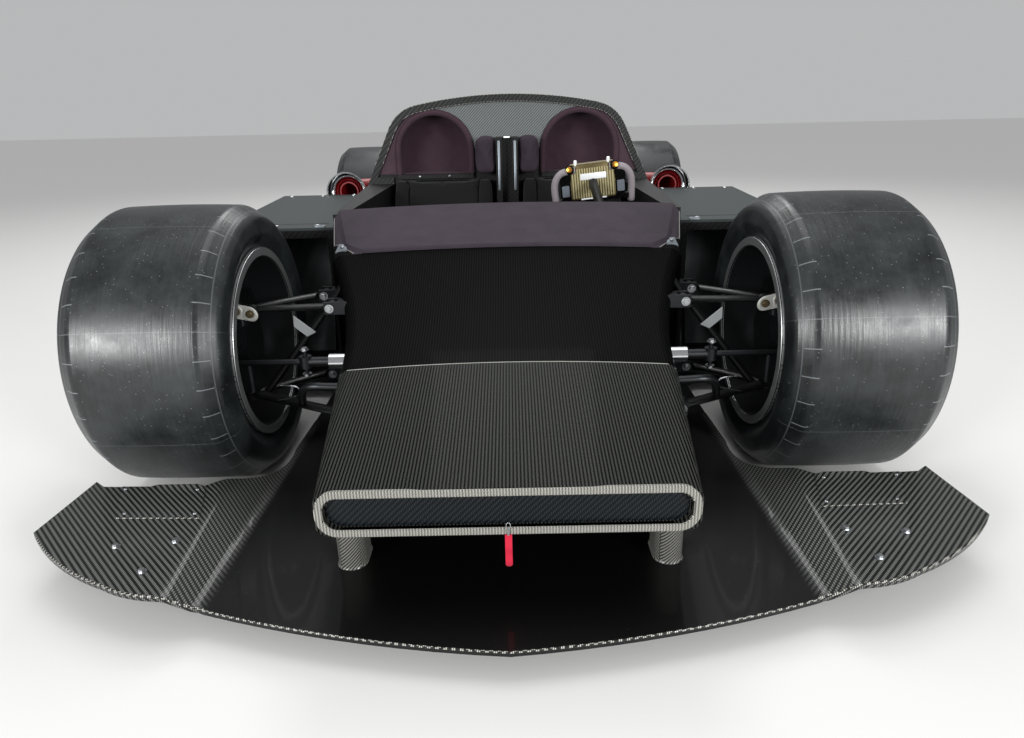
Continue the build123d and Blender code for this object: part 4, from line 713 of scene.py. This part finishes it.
collar_suede = suede("suede_violet", "#383038")
COLLAR_LOW, COLLAR_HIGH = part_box("collar_pads")
COLLAR_EASE = 0.006
COLLAR_SPANS = list(zip((SPINE_HIGH[0] + 0.002, COLLAR_LOW[1], COLLAR_LOW[2]), COLLAR_HIGH))
collar_size = [high - low - COLLAR_EASE for low, high in COLLAR_SPANS]
for sign, side in SIDES:
    x, y, z = [(low + high) / 2 for low, high in COLLAR_SPANS]
    place = Matrix.Translation((sign * x, y, z))
    pad = stuffed(f"collar_{side}", collar_size, place, 0.005, 0.005, collar_suede)
    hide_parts("collar_pads")

# Seats: black carbon shells with loose cloth-covered back and base cushions.
# Piping is sewn round each cushion's front edge.
shell_black = woven("carbon_shell_black", 0.005, 0, "#121313", "#050505", 0.5, 0.03, 0.08)
dress(shell_black, "seats")
# Seat cloth: black open-weave fabric, soft and matt. Its threads are 1.5 mm apart, drawn at
# 3 mm so that they show
cloth_black, tree, shader = surface(
    "seat_cloth_black", "#101011", Roughness=0.9, Specular_IOR_Level=0.2, Sheen_Weight=0.08)
threads = {"Vector": put(tree, "TexCoord").node.outputs["Object"], "Scale": 105.0, "Distortion": 0.3}
across, along = [put(tree, "TexWave", threads, bands_direction=way).node.outputs["Fac"] for way in ("X", "Z")]
knit = put(tree, "Math", {0: across, 1: along}, operation="MULTIPLY")
tone = put(tree, "Mix", {0: knit, 6: linear("#0a0a0b"), 7: linear("#1a1a1b")}, data_type="RGBA")
dent = put(tree, "Bump", {"Strength": 0.5, "Distance": 0.0008, "Height": knit})
put(tree, shader, {"Base Color": tone, "Normal": dent})
SEAT_X = 0.27
BACK_TOP = (BULKHEAD - 0.085, 0.622)
BACK_FOOT = (BULKHEAD - 0.330, 0.190)
BASE_FRONT = (BULKHEAD - 0.720, 0.240)
RIGHTWARD = Vector((1, 0, 0))
# Cushion, its low and high ends as (along, up), the stretch between them that it fills, thickness
CUSHIONS = (
    ("back", BACK_FOOT, BACK_TOP, (0.10, 0.99), 0.055),
    ("base", BASE_FRONT, BACK_FOOT, (0.06, 0.86), 0.050),
)
for sign, side in SIDES:
    for part, low, high, cut, thick in CUSHIONS:
        run = Vector((0, high[0] - low[0], high[1] - low[1]))
        up = run.normalized()
        out = RIGHTWARD.cross(up)
        turn = Matrix((RIGHTWARD, up, out)).transposed().to_4x4()
        centre = Vector((sign * SEAT_X, *low)) + run * sum(cut) / 2 + out * thick * 0.45
        size = (0.315, run.length * (cut[1] - cut[0]), thick)
        place = Matrix.Translation(centre) @ turn
        stuffed(f"seat_{part}_{side}", size, place, 0.006, 0.010, cloth_black)
        bolster = (0.046, size[1] * 0.94, 0.062)
        for wing, reach in ((-1, "inner"), (1, "outer")):
            place = Matrix.Translation(centre + wing * 0.176 * RIGHTWARD + out * 0.012) @ turn
            stuffed(f"seat_{part}_{reach}_{side}", bolster, place, 0.006, 0.006, cloth_black)
        edge = rounded(size[0] * 0.93, size[1] * 0.95, 0.05, each=8)
        front = Matrix.Translation(centre + out * thick * 0.44) @ turn
        loop = [front @ Vector((x, y, 0)) for x, y in edge]
        name = f"seat_{part}_piping_{side}"
        tube(name, loop + loop[:1], 0.0028, shell_black, CHASSIS, smooth=False)

# Steering wheel: a yoke with a gold-anodised ribbed housing, grey leather grips, two knobs and
# alloy paddles. Its label stays blank. It is screwed to the end of a black carbon column.
HAND = "hand_wheel"
WHEEL_TURN = math.radians(6)
forward = Vector((0, -1, -0.25)).normalized()
upward = forward.cross(RIGHTWARD)
yoke = (
    Matrix.Translation((0.306, BULKHEAD - 0.601, 0.668))
    @ Matrix((RIGHTWARD, upward, forward)).transposed().to_4x4()
    @ Matrix.Rotation(WHEEL_TURN, 4, "Z")
)


def slab(length, height, radius, levels, middle=(0, 0), each=6):
    """A rounded plate in the yoke's own frame; levels are pairs of inset and height."""
    loops = stepped(
        length, height, radius, levels,
        lambda x, y, level: yoke @ Vector((x + middle[0], y + middle[1], level)), each=each)
    return skin(loops, True, (0, -1))


def on_front(x, y, lift):
    """A place on the housing's leaning front, lifted off it."""
    return yoke @ Vector((x, y + 0.185 * lift, 0.040 - 0.1887 * (y + 0.056) + 0.983 * lift))


# Gold anodise: satin metal, painted dark on the housing as shade in the grooves, and pale on the ribs as the
# lit tone
gold_shaded = grained("gold_anodise_painted_shade", "#5a4f30", 700, 0.12, 0.0003, Metallic=0.6, Roughness=0.45)
gold_lit = grained("gold_anodise_painted_lit", "#d9cfa2", 700, 0.12, 0.0003, Metallic=0.6, Roughness=0.32)
# Label film: plain white, left blank
film = grained("white_film", "#eceeee", 90, 0.05, 0.0004, Roughness=0.35)
# Grip leather: lilac-grey, finely grained
leather = grained(
    "grip_leather", "#8a8387", 420, 0.35, 0.0006, cells=True, Roughness=0.6, Sheen_Weight=0.1)
# Paddle alloy: blue-grey satin
paddle_alloy = grained("paddle_alloy", "#8a929b", 350, 0.08, 0.0004, Metallic=0.5, Roughness=0.4)
# Knob brass: orange-gold and polished
knob_brass = grained("knob_brass", "#c98a34", 500, 0.1, 0.0004, Metallic=0.9, Roughness=0.25)
dress(shell_black, "steering_column")

# The housing's front leans back; its section is drawn as (up, forward) and its ribs follow it
HOUSING_HALF, HOUSING_MIDDLE, END_ROUND = 0.079, 0.018, 0.004
PROFILE = ((-0.061, 0.0), (-0.061, 0.036), (-0.056, 0.040), (0.050, 0.020), (0.061, 0.014), (0.061, 0.0))
ends = []
HOUSING_FLAT = HOUSING_HALF - END_ROUND
for x, shrink in ((-HOUSING_HALF, 0.9), (-HOUSING_FLAT, 1), (HOUSING_FLAT, 1), (HOUSING_HALF, 0.9)):
    ends.append([
        yoke @ Vector((x, y * shrink, HOUSING_MIDDLE + (z - HOUSING_MIDDLE) * shrink)) for y, z in PROFILE])
# The housing's gold is painted dark as the shade between the ribs
housing = build("yoke_housing", *skin(ends, True, (0, -1)), gold_shaded, HAND, "brass_anodise")
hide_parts("steering_wheel")
RIBS, RIB_FOOT, RIB_TOP = 17, -0.052, 0.047
rib_shapes = []
for i in range(RIBS):
    x = 0.150 * ((i + 0.5) / RIBS - 0.5)
    loops = []
    for half, lift in ((0.0027, -0.0005), (0.0027, 0.0026), (0.0016, 0.0036)):
        plan = ((x - half, RIB_FOOT), (x + half, RIB_FOOT), (x + half, RIB_TOP), (x - half, RIB_TOP))
        loops.append([on_front(a, b, lift) for a, b in plan])
    rib_shapes.append(skin(loops, True, (-1,)))
# The ribs take the same gold painted pale, as lit
build("yoke_ribs", *gather(rib_shapes), gold_lit, HAND, "brass_anodise")
loops = stepped(
    0.092, 0.021, 0.002, ((0, 0.0030), (0, 0.0046), (0.0006, 0.0050)),
    lambda x, y, lift: on_front(0.002 + x, 0.019 + y, lift), ease=0, each=3)
build("yoke_label", *skin(loops, True, (-1,)), film, HAND, "aluminium")
GRIP_PATH = (
    (0.060, 0.044), (0.100, 0.043), (0.122, 0.030), (0.136, 0.004), (0.138, -0.030), (0.135, -0.062),
    (0.134, -0.088))
COLLAR = [(0, 0), (0.016, 0), (0.016, 0.007), (0.012, 0.009), (0, 0.009)]
KNOB = [(0.0105, 0.008), (0.0105, 0.018), (0.0085, 0.0225), (0, 0.024)]
BUTTON = [(0, 0), (0.006, 0), (0.006, 0.016), (0.0045, 0.019), (0, 0.0195)]
ARM_LEVELS = ((0.002, 0.008), (0, 0.010), (0, 0.026), (0.002, 0.028))
BAR_LEVELS = ((0.002, 0.012), (0, 0.014), (0, 0.026), (0.002, 0.028))
PADDLE_LEVELS = ((0, 0.027), (0, 0.0335), (0.001, 0.0345))
LIP_LEVELS = ((0, 0.036), (0, 0.0415), (0.0008, 0.0425))
for sign, side in SIDES:
    points = [yoke @ Vector((sign * x, y, 0.020)) for x, y in GRIP_PATH]
    tube(f"yoke_grip_{side}", points, 0.0125, leather, HAND)
    knob_base = yoke @ Vector((sign * 0.078, 0.047, 0.022))
    axis = yoke.to_3x3() @ Vector((sign * 0.2, 0.45, 1))
    build(f"yoke_knob_collar_{side}", *lathe(COLLAR, knob_base, axis), shell_black, HAND, "carbon")
    build(f"yoke_knob_{side}", *lathe(KNOB, knob_base, axis), knob_brass, HAND, "brass_anodise")
    button_base = yoke @ Vector((sign * 0.058, 0.056, 0.010))
    build(f"yoke_button_{side}", *lathe(BUTTON, button_base, upward, 20), film, HAND, "aluminium")
    arm = slab(0.040, 0.092, 0.010, ARM_LEVELS, (sign * 0.096, -0.012))
    build(f"yoke_arm_{side}", *arm, shell_black, HAND, "carbon")
    paddle = slab(0.026, 0.040, 0.004, PADDLE_LEVELS, (sign * 0.098, -0.026))
    build(f"yoke_paddle_{side}", *paddle, paddle_alloy, HAND, "aluminium")
bar = slab(0.264, 0.018, 0.008, BAR_LEVELS, (0, -0.067))
build("yoke_lower_bar", *bar, shell_black, HAND, "carbon")
lip = slab(0.092, 0.005, 0.002, LIP_LEVELS, (0, -0.0575), 3)
build("yoke_lip", *lip, film, HAND, "aluminium")

# Front suspension: dark carbon-skinned arms on blackened clevises, with a chromed rack tube.
# Bolts go through every pivot; a pale gauge plate is clamped to each push rod.
arm_carbon = woven("carbon_arm_satin", 0.003, 30, "#202122", "#0b0c0c", 0.45, 0.2)
dress(arm_carbon, "suspension_arms")
# Machined aluminium: bright, with fine tool marks
machined, tree, shader = surface("machined_aluminium", "#a9acae", Metallic=0.95, Roughness=0.32)
marks = put(tree, "TexWave", {"Scale": 260.0, "Distortion": 2.0}, bands_direction="Z")
put(tree, shader, {"Normal": put(tree, "Bump", {"Strength": 0.06, "Distance": 0.0004, "Height": marks})})
dress(machined, "rear_uprights")
# Blackened steel: phosphated and oiled, so that only edges catch the light
dark_steel = grained("dark_steel", "#36383a", 120, 0.15, 0.0004, 4.0, Metallic=0.9, Roughness=0.38)
dress(dark_steel, "clevises", "upright_front_left", "upright_front_right", "steering_rack")
# Chrome: hard, bright and slightly hazed
chrome = grained("hard_chrome", "#d7d9db", 60, 0.03, 0.0005, Metallic=1.0, Roughness=0.12)
dress(chrome, "rack_housing")
# Polished lug alloy: bright silver
silver = grained("polished_silver", "#dcdcd6", 420, 0.05, 0.0003, Metallic=0.35, Roughness=0.3)
# Lug bolts: dull bronze
bronze = grained("dull_bronze", "#76694e", 420, 0.1, 0.0003, Metallic=0.6, Roughness=0.4)
# Pale paint on the small plates
pale_paint = grained("pale_grey_paint", "#b4b8ba", 300, 0.06, 0.0004, Roughness=0.45)

REAR_AXLE = sum(c[1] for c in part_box("tyre_rear_left")) / 2
PIVOTS = [(0.460, FRONT_AXLE + 0.035, 0.430), (0.508, FRONT_AXLE + 0.172, 0.430)]
PIVOTS += [(0.428, FRONT_AXLE - 0.130, 0.200), (0.508, FRONT_AXLE + 0.172, 0.200)]
PIVOTS += [(0.205, REAR_AXLE + along, z) for along in (-0.21, 0.21) for z in (0.375, 0.226)]
BOTH_ENDS = (1, -1)
pivot_bolts = []
for x, y, z in PIVOTS:
    for sign in BOTH_ENDS:
        pivot_bolts += [((sign * x, y + end * 0.026, z), (0, end, 0)) for end in BOTH_ENDS]
screws("pivot_bolts", pivot_bolts, 0.0085, plated_steel, CHASSIS, "steel", hexagon=True)
# Outlines and routes at one corner, as (out, up) or (out, back from the axle, up)
GAUGE_PLATE = ((0.566, 0.403), (0.568, 0.374), (0.536, 0.346), (0.512, 0.357))
LUG_X, LUG_Z, LUG_LEAN, LUG_FACE = 0.660, 0.440, 0.2, -0.052
LUG_COLLAR = [(0.0125, -0.001), (0.0155, -0.001), (0.0155, 0.0025), (0.0125, 0.0025)]
ROLL_BAR = (
    (0.385, -0.190, 0.290), (0.430, -0.190, 0.291), (0.468, -0.188, 0.293), (0.492, -0.176, 0.284),
    (0.508, -0.150, 0.258), (0.522, -0.105, 0.222), (0.530, -0.082, 0.206))
BRAKE_PIPE = (
    (0.569, -0.115, 0.269), (0.527, -0.118, 0.268), (0.519, -0.118, 0.252), (0.531, -0.112, 0.236),
    (0.600, -0.060, 0.206))
for sign, side in SIDES:
    corner = f"corner_front_{side}"
    loops = [[(sign * x, FRONT_AXLE + y, z) for x, z in GAUGE_PLATE] for y in (0.043, 0.0465)]
    build(f"gauge_plate_{side}", *skin(loops, True, (0, -1)), pale_paint, CHASSIS, "aluminium")
    loops = stepped(
        0.072, 0.038, 0.0189, ((0, -0.048), (0, -0.0505), (0.0015, LUG_FACE)),
        lambda x, z, out: (sign * (LUG_X + x), FRONT_AXLE + out, LUG_Z + z + LUG_LEAN * x))
    lug_places = [
        (sign * (LUG_X + x), FRONT_AXLE + LUG_FACE, LUG_Z + LUG_LEAN * x) for x in (-0.017, 0.017)]
    lug_shapes = [skin(loops, True, (-1,))]
    lug_shapes += [lathe(LUG_COLLAR, place, (0, -1, 0), 32) for place in lug_places]
    build(f"lug_plate_{side}", *gather(lug_shapes), silver, corner, "aluminium")
    lug_bolts = [(place, (0, -1, 0)) for place in lug_places]
    screws(f"lug_bolts_{side}", lug_bolts, 0.0075, bronze, corner, "brass_anodise", hexagon=True)
    joint_nuts = [
        ((sign * 0.496, FRONT_AXLE - 0.122, 0.332 + end * 0.0295), (0, 0, end)) for end in BOTH_ENDS]
    screws(f"rack_joint_nuts_{side}", joint_nuts, 0.008, plated_steel, "rack", "steel", hexagon=True)
    bar = [(sign * x, FRONT_AXLE + y, z) for x, y, z in ROLL_BAR]
    tube(f"roll_bar_{side}", bar, 0.010, dark_steel, CHASSIS)
    pipe = [(sign * x, FRONT_AXLE + y, z) for x, y, z in BRAKE_PIPE]
    tube(f"brake_pipe_{side}", pipe, 0.002, chrome, CHASSIS)

# Wheels: slick moulded tyres on black forged rims, with a polished lip and a centre nut.
# Mould nicks run round both shoulders; carbon brake discs sit inside the rims.


def slick(name, wheel):
    """Tyre rubber round a wheel's axle: shoulder nicks, mould lines, scuffs and dust."""
    low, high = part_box(wheel)
    middle = (low + high) / 2
    width, radius = high[0] - low[0], (high[2] - low[2]) / 2
    nick_count, joint_count = 34, 8
    material, tree, shader = surface(name, "#3b3e41", Roughness=0.33, Specular_IOR_Level=0.55)
    coords = put(tree, "TexCoord").node.outputs["Object"]
    x, y, z = put(tree, "SeparateXYZ", {0: coords}).node.outputs
    back = put(tree, "Math", {0: y, 1: middle.y}, operation="SUBTRACT")
    rise = put(tree, "Math", {0: z, 1: middle.z}, operation="SUBTRACT")
    angle = put(tree, "Math", {0: rise, 1: back}, operation="ARCTAN2")
    out = put(tree, "Math", {0: x}, operation="ABSOLUTE")
    out = put(tree, "Math", {0: out, 1: abs(middle.x)}, operation="SUBTRACT")
    out = put(tree, "Math", {0: out}, operation="ABSOLUTE")
    # Nicks on the shoulders, a line round each sidewall and joints across the tread
    beat = put(tree, "Math", {0: angle, 1: nick_count / (2 * math.pi)}, operation="MULTIPLY")
    beat = put(tree, "Math", {0: beat}, operation="FRACT")
    nick = put(tree, "Math", {0: beat, 1: 0.04}, operation="LESS_THAN")
    band = put(tree, "Math", {0: out, 1: width / 2 - 0.036, 2: 0.016}, operation="COMPARE")
    nick = put(tree, "Math", {0: nick, 1: band}, operation="MULTIPLY")
    line = put(tree, "Math", {0: out, 1: width / 2 - 0.018, 2: 0.0012}, operation="COMPARE")
    joint = put(tree, "Math", {0: angle, 1: joint_count / (2 * math.pi), 2: 0.47}, operation="MULTIPLY_ADD")
    joint = put(tree, "Math", {0: joint}, operation="FRACT")
    joint = put(tree, "Math", {0: joint, 1: 0.006}, operation="LESS_THAN")
    line = put(tree, "Math", {0: joint, 1: line}, operation="MAXIMUM")
    # Scuffs 6 mm wide along the tread, clouds of dust 110 mm wide and grit 11 mm apart
    around = put(tree, "Math", {0: angle, 1: radius}, operation="MULTIPLY")
    unrolled = put(tree, "CombineXYZ", {0: x, 1: around, 2: back})
    scuffed = put(tree, "VectorMath", {0: unrolled, 1: (160, 9, 9)}, operation="MULTIPLY")
    scuff = put(tree, "TexNoise", {"Vector": scuffed, "Scale": 1.0, "Detail": 4.0})
    dust = put(tree, "TexNoise", {"Vector": coords, "Scale": 9.0, "Detail": 6.0, "Roughness": 0.7})
    cloud = put(tree, "MapRange", {"Value": dust, "From Min": 0.36, "From Max": 0.68})
    haze = put(tree, "Math", {0: cloud, 1: 0.16, 2: 0.28}, operation="MULTIPLY_ADD")
    dots = put(tree, "TexVoronoi", {"Vector": coords, "Scale": 90.0})
    dot = put(tree, "Math", {0: dots, 1: 0.09}, operation="LESS_THAN")
    mixed = put(tree, "Math", {0: scuff, 1: 0.4}, operation="MULTIPLY")
    mixed = put(tree, "Math", {0: cloud, 1: 0.6, 2: mixed}, operation="MULTIPLY_ADD")
    tone = put(tree, "Mix", {0: mixed, 6: linear("#030404"), 7: linear("#303537")}, data_type="RGBA")
    for mask, colour in ((nick, "#666a6d"), (dot, "#6e7275"), (line, "#45494b")):
        tone = put(tree, "Mix", {0: mask, 6: tone, 7: linear(colour)}, data_type="RGBA")
    height = put(tree, "Math", {0: nick, 1: scuff}, operation="ADD")
    dent = put(tree, "Bump", {"Strength": 0.3, "Distance": 0.0015, "Height": height})
    put(tree, shader, {"Base Color": tone, "Roughness": haze, "Normal": dent})
    return material


# Rim paint: satin black over forged alloy, with a slight orange peel
rim_paint = grained(
    "rim_satin_black", "#1b1c1e", 180, 0.05, 0.0005, Roughness=0.4, Coat_Weight=0.3, Coat_Roughness=0.2)
# Carbon-ceramic: dark grey and matt, in small flakes
disc_face, tree, shader = surface("carbon_ceramic", "#4c4e50", Roughness=0.55)
flake = put(tree, "TexVoronoi", {"Scale": 130.0})
tone = put(tree, "Mix", {0: flake, 6: linear("#3a3c3e"), 7: linear("#66696b")}, data_type="RGBA")
dent = put(tree, "Bump", {"Strength": 0.2, "Distance": 0.0008, "Height": flake})
put(tree, shader, {"Base Color": tone, "Normal": dent})
# Brushed aluminium: pale, with upright brush lines 1.1 mm wide and 50 mm long
brushed, tree, shader = surface("brushed_aluminium", "#b9bbbb", Metallic=0.9, Roughness=0.38)
coords = put(tree, "TexCoord").node.outputs
stretched = put(tree, "VectorMath", {0: coords["Object"], 1: (900, 900, 20)}, operation="MULTIPLY")
lines = put(tree, "TexNoise", {"Vector": stretched, "Scale": 1.0, "Detail": 2.0})
put(tree, shader, {"Normal": put(tree, "Bump", {"Strength": 0.15, "Distance": 0.0003, "Height": lines})})
RIM_LIP = [(0.2195, -0.004), (0.2205, 0.0012), (0.2395, 0.0012), (0.2418, -0.002), (0.2418, -0.006)]
CENTRE_NUT = [(0.049, 0), (0.049, 0.014), (0.045, 0.020), (0.0375, 0.030)]
for end, disc in (("front", "brake_disc_front"), ("rear", "driveshaft_rear")):
    rubber = slick(f"tyre_rubber_{end}", f"tyre_{end}_left")
    for sign, side in SIDES:
        body = f"wheel_{end}_{side}"
        dress(rubber, f"tyre_{end}_{side}")
        dress(rim_paint, f"rim_{end}_{side}")
        dress(disc_face, f"{disc}_{side}")
        low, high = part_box(f"rim_{end}_{side}")
        hub = (low + high) / 2
        half = (high[0] - low[0]) / 2
        lips = [lathe(RIM_LIP, hub + face * half * RIGHTWARD, (face, 0, 0), 96) for face in BOTH_ENDS]
        build(f"rim_lips_{end}_{side}", *gather(lips), brushed, body, "rim_paint")
        nut = lathe(CENTRE_NUT, hub + sign * 0.060 * RIGHTWARD, (sign, 0, 0), 48, facets=12)
        build(f"centre_nut_{end}_{side}", *nut, anodised, body, "aluminium")

# Side pods: carbon ducts with flat tops in satin grey paint, held by quarter-turn fasteners.
# A finned radiator leans inside each duct.
dress(tub_twill, "pod_ducts")
# Satin grey paint: even, with a slight orange peel
pod_paint = grained("satin_grey_paint", "#3f4546", 140, 0.05, 0.0006, Roughness=0.5, Specular_IOR_Level=0.2)
dress(pod_paint, "pod_tops")
# Radiator core: thin alloy fins, 4 mm apart, with painted shade in the gaps between them
core, tree, shader = surface("radiator_fins", "#5d6163", Metallic=0.7, Roughness=0.5)
fins = {"Vector": put(tree, "TexCoord").node.outputs["Object"], "Scale": 78.0}
fin = put(tree, "TexWave", fins, bands_direction="X").node.outputs["Fac"]
# Painted shade: the gaps between the fins are painted dark, the fins pale
tone = put(tree, "Mix", {0: fin, 6: linear("#1d1f20"), 7: linear("#8a8e90")}, data_type="RGBA")
dent = put(tree, "Bump", {"Strength": 0.6, "Distance": 0.002, "Height": fin})
put(tree, shader, {"Base Color": tone, "Normal": dent})
dress(core, "radiators")
# Joint sealant: dark, in a thin groove
sealant = grained("joint_sealant", "#26282a", 400, 0.2, 0.0005, Roughness=0.7)
POD_LOW, POD_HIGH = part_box("pod_tops")
# Rows of fasteners across the tops: place along the car, inner and outer end
TOP_ROWS = ((POD_LOW[1] + 0.035, 0.60, 0.86), (POD_HIGH[1] - 0.04, 0.67, 0.94))
JOINT_Y, LATCH_X, LATCH_Y = POD_LOW[1] + 0.085, 0.585, POD_LOW[1] + 0.012
latch = rounded(0.034, 0.016, 0.004, 4)
for sign, side in SIDES:
    fasteners = []
    for y, inner, outer in TOP_ROWS:
        for x in (inner, (inner + outer) / 2, outer):
            fasteners.append(((sign * x, y, POD_HIGH[2]), (0, 0, 1)))
    for i in range(6):
        y = POD_LOW[1] + 0.06 + i * (POD_HIGH[1] - POD_LOW[1] - 0.12) / 5
        for z in (0.14, POD_HIGH[2] - 0.05):
            found = meet("pod_ducts", (sign * 1.5, y, z), (-sign, 0, 0))
            if found:
                fasteners.append(found)
    screws(f"pod_fasteners_{side}", fasteners, 0.009, brushed, CHASSIS, "steel")
    joint = [(sign * x, JOINT_Y, POD_HIGH[2]) for x in (0.575, 0.75, 0.905)]
    tube(f"pod_joint_{side}", joint, 0.0011, sealant, CHASSIS, smooth=False)
    loops = []
    for grow, rise in ((1, -0.0005), (1, 0.004), (0.86, 0.006)):
        loops.append([(sign * LATCH_X + x * grow, LATCH_Y + y * grow, POD_HIGH[2] + rise) for x, y in latch])
    build(f"pod_latch_{side}", *skin(loops, True, (-1,)), anodised, CHASSIS, "aluminium")

# Engine bay: a cast vee engine with a carbon plenum, spun bell mouths and red silicone hoses.
# Hose clamps, cam covers and their bolts are fixed on.
# Cast alloy: sandy grey skin
cast = grained("cast_alloy", "#8f9294", 380, 0.4, 0.0008, 4.0, Metallic=0.8, Roughness=0.55)
dress(cast, "engine_block", "gearbox")
dress(hoop_twill, "intake_plenum")
# Silicone: glossy red rubber with faint wrap marks
silicone = grained("red_silicone", "#8c1218", 90, 0.1, 0.001, Roughness=0.4)
dress(silicone, "intake_hoses")
dress(chrome, "bell_mouths")
# Cam covers: black crackle paint
crackle = grained("crackle_paint", "#1d1d1f", 240, 0.6, 0.001, cells=True, Roughness=0.6)
ENGINE_LOW, ENGINE_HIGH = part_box("engine_block")
PLENUM_LOW, PLENUM_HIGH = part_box("intake_plenum")
BANK_SLOPE = Vector((0.076, 0, -0.081)).normalized()
COVER_LEVELS = ((0, -0.001), (0, 0.014), (0.008, 0.026), (0.014, 0.029))
CLAMP = [(0.0425, -0.006), (0.0448, -0.006), (0.0448, 0.006), (0.0425, 0.006)]
for sign, side in SIDES:
    along = Vector((sign * BANK_SLOPE.x, 0, BANK_SLOPE.z))
    out = Vector((sign * -BANK_SLOPE.z, 0, BANK_SLOPE.x))
    middle = Vector((sign * 0.270, (ENGINE_LOW[1] + ENGINE_HIGH[1]) / 2, 0.4645))
    loops = stepped(
        0.104, 0.56, 0.016, COVER_LEVELS,
        lambda x, y, rise: middle + along * x + BACKWARD * y + out * rise, ease=0.5, each=5)
    build(f"cam_cover_{side}", *skin(loops, True, (-1,)), crackle, CHASSIS, "cast_alloy")
    cover_bolts = []
    for i in range(6):
        for edge in (-0.045, 0.045):
            cover_bolts.append((middle + along * edge + BACKWARD * 0.1 * (i - 2.5) + out * 0.016, out))
    screws(f"cam_cover_bolts_{side}", cover_bolts, 0.005, plated_steel, CHASSIS, "steel")
    clamps = [
        lathe(CLAMP, (sign * 0.716, BULKHEAD + 0.096, 0.578), (0, 1, 0), 48),
        lathe(CLAMP, (sign * (PLENUM_HIGH[0] + 0.03), BULKHEAD + 0.230, 0.5605), (1, 0, 0), 48)]
    build(f"hose_clamps_{side}", *gather(clamps), plated_steel, CHASSIS, "steel")
plenum_bolts = []
for i in range(5):
    y = PLENUM_LOW[1] + 0.05 + i * (PLENUM_HIGH[1] - PLENUM_LOW[1] - 0.1) / 4
    plenum_bolts += [((x, y, PLENUM_HIGH[2]), (0, 0, 1)) for x in (-0.042, 0.042)]
screws("plenum_bolts", plenum_bolts, 0.005, plated_steel, CHASSIS, "steel")

# Rear: cast gearbox with ribs and bolts, titanium exhausts, a carbon tail box and the floor.
# The exhausts are welded tubes that have gone straw and blue with heat.
rib_shapes = []
for y in (0.93, 1.05, 1.17, 1.29):
    tops = []
    for offset in (-0.004, 0.004):
        row = []
        for i in range(17):
            x = 0.15 * (i / 8 - 1) * (1 - 0.25 * (y - 0.84))
            row.append(Vector((x, y + offset, top_of("gearbox", x, y, 0.52) + 0.010)))
        tops.append(row)
    feet = [[point - Vector((0, 0, 0.016)) for point in row] for row in tops]
    rib_shapes.append(skin([feet[0], tops[0], tops[1], feet[1]]))
build("gearbox_ribs", *gather(rib_shapes), cast, CHASSIS, "cast_alloy")
drive_bolts = []
for i in range(10):
    angle = 2 * math.pi * i / 10
    for sign in BOTH_ENDS:
        place = (sign * 0.182, REAR_AXLE + 0.104 * math.cos(angle), 0.36 + 0.104 * math.sin(angle))
        drive_bolts.append((place, (sign, 0, 0)))
screws("final_drive_bolts", drive_bolts, 0.007, plated_steel, CHASSIS, "steel", hexagon=True)
# Heat-tinted titanium: straw near the engine, blue further on, in patches
titanium, tree, shader = surface("heat_tinted_titanium", "#a08f78", Metallic=1.0, Roughness=0.3)
coords = put(tree, "TexCoord").node.outputs
place = put(tree, "SeparateXYZ", {0: coords["Object"]}).node.outputs
wander = put(tree, "TexNoise", {"Scale": 14.0, "Detail": 3.0})
reach = put(tree, "Math", {0: wander, 1: 0.25, 2: place[1]}, operation="MULTIPLY_ADD")
heat = put(tree, "MapRange", {"Value": reach, "From Min": 0.95, "From Max": 1.75})
tone = put(tree, "Mix", {0: heat, 6: linear("#a8926c"), 7: linear("#6a7484")}, data_type="RGBA")
put(tree, shader, {"Base Color": tone})
dress(titanium, "exhausts")
dress(hoop_twill, "tail_box")
floor_twill = woven("carbon_floor_satin", 0.004, 0, "#242626", "#0c0d0d", 0.55, 0.1)
dress(floor_twill, "underfloor")

size = {"cad": [list(c) for c in cad_size], "scene": [list(c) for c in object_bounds()]}
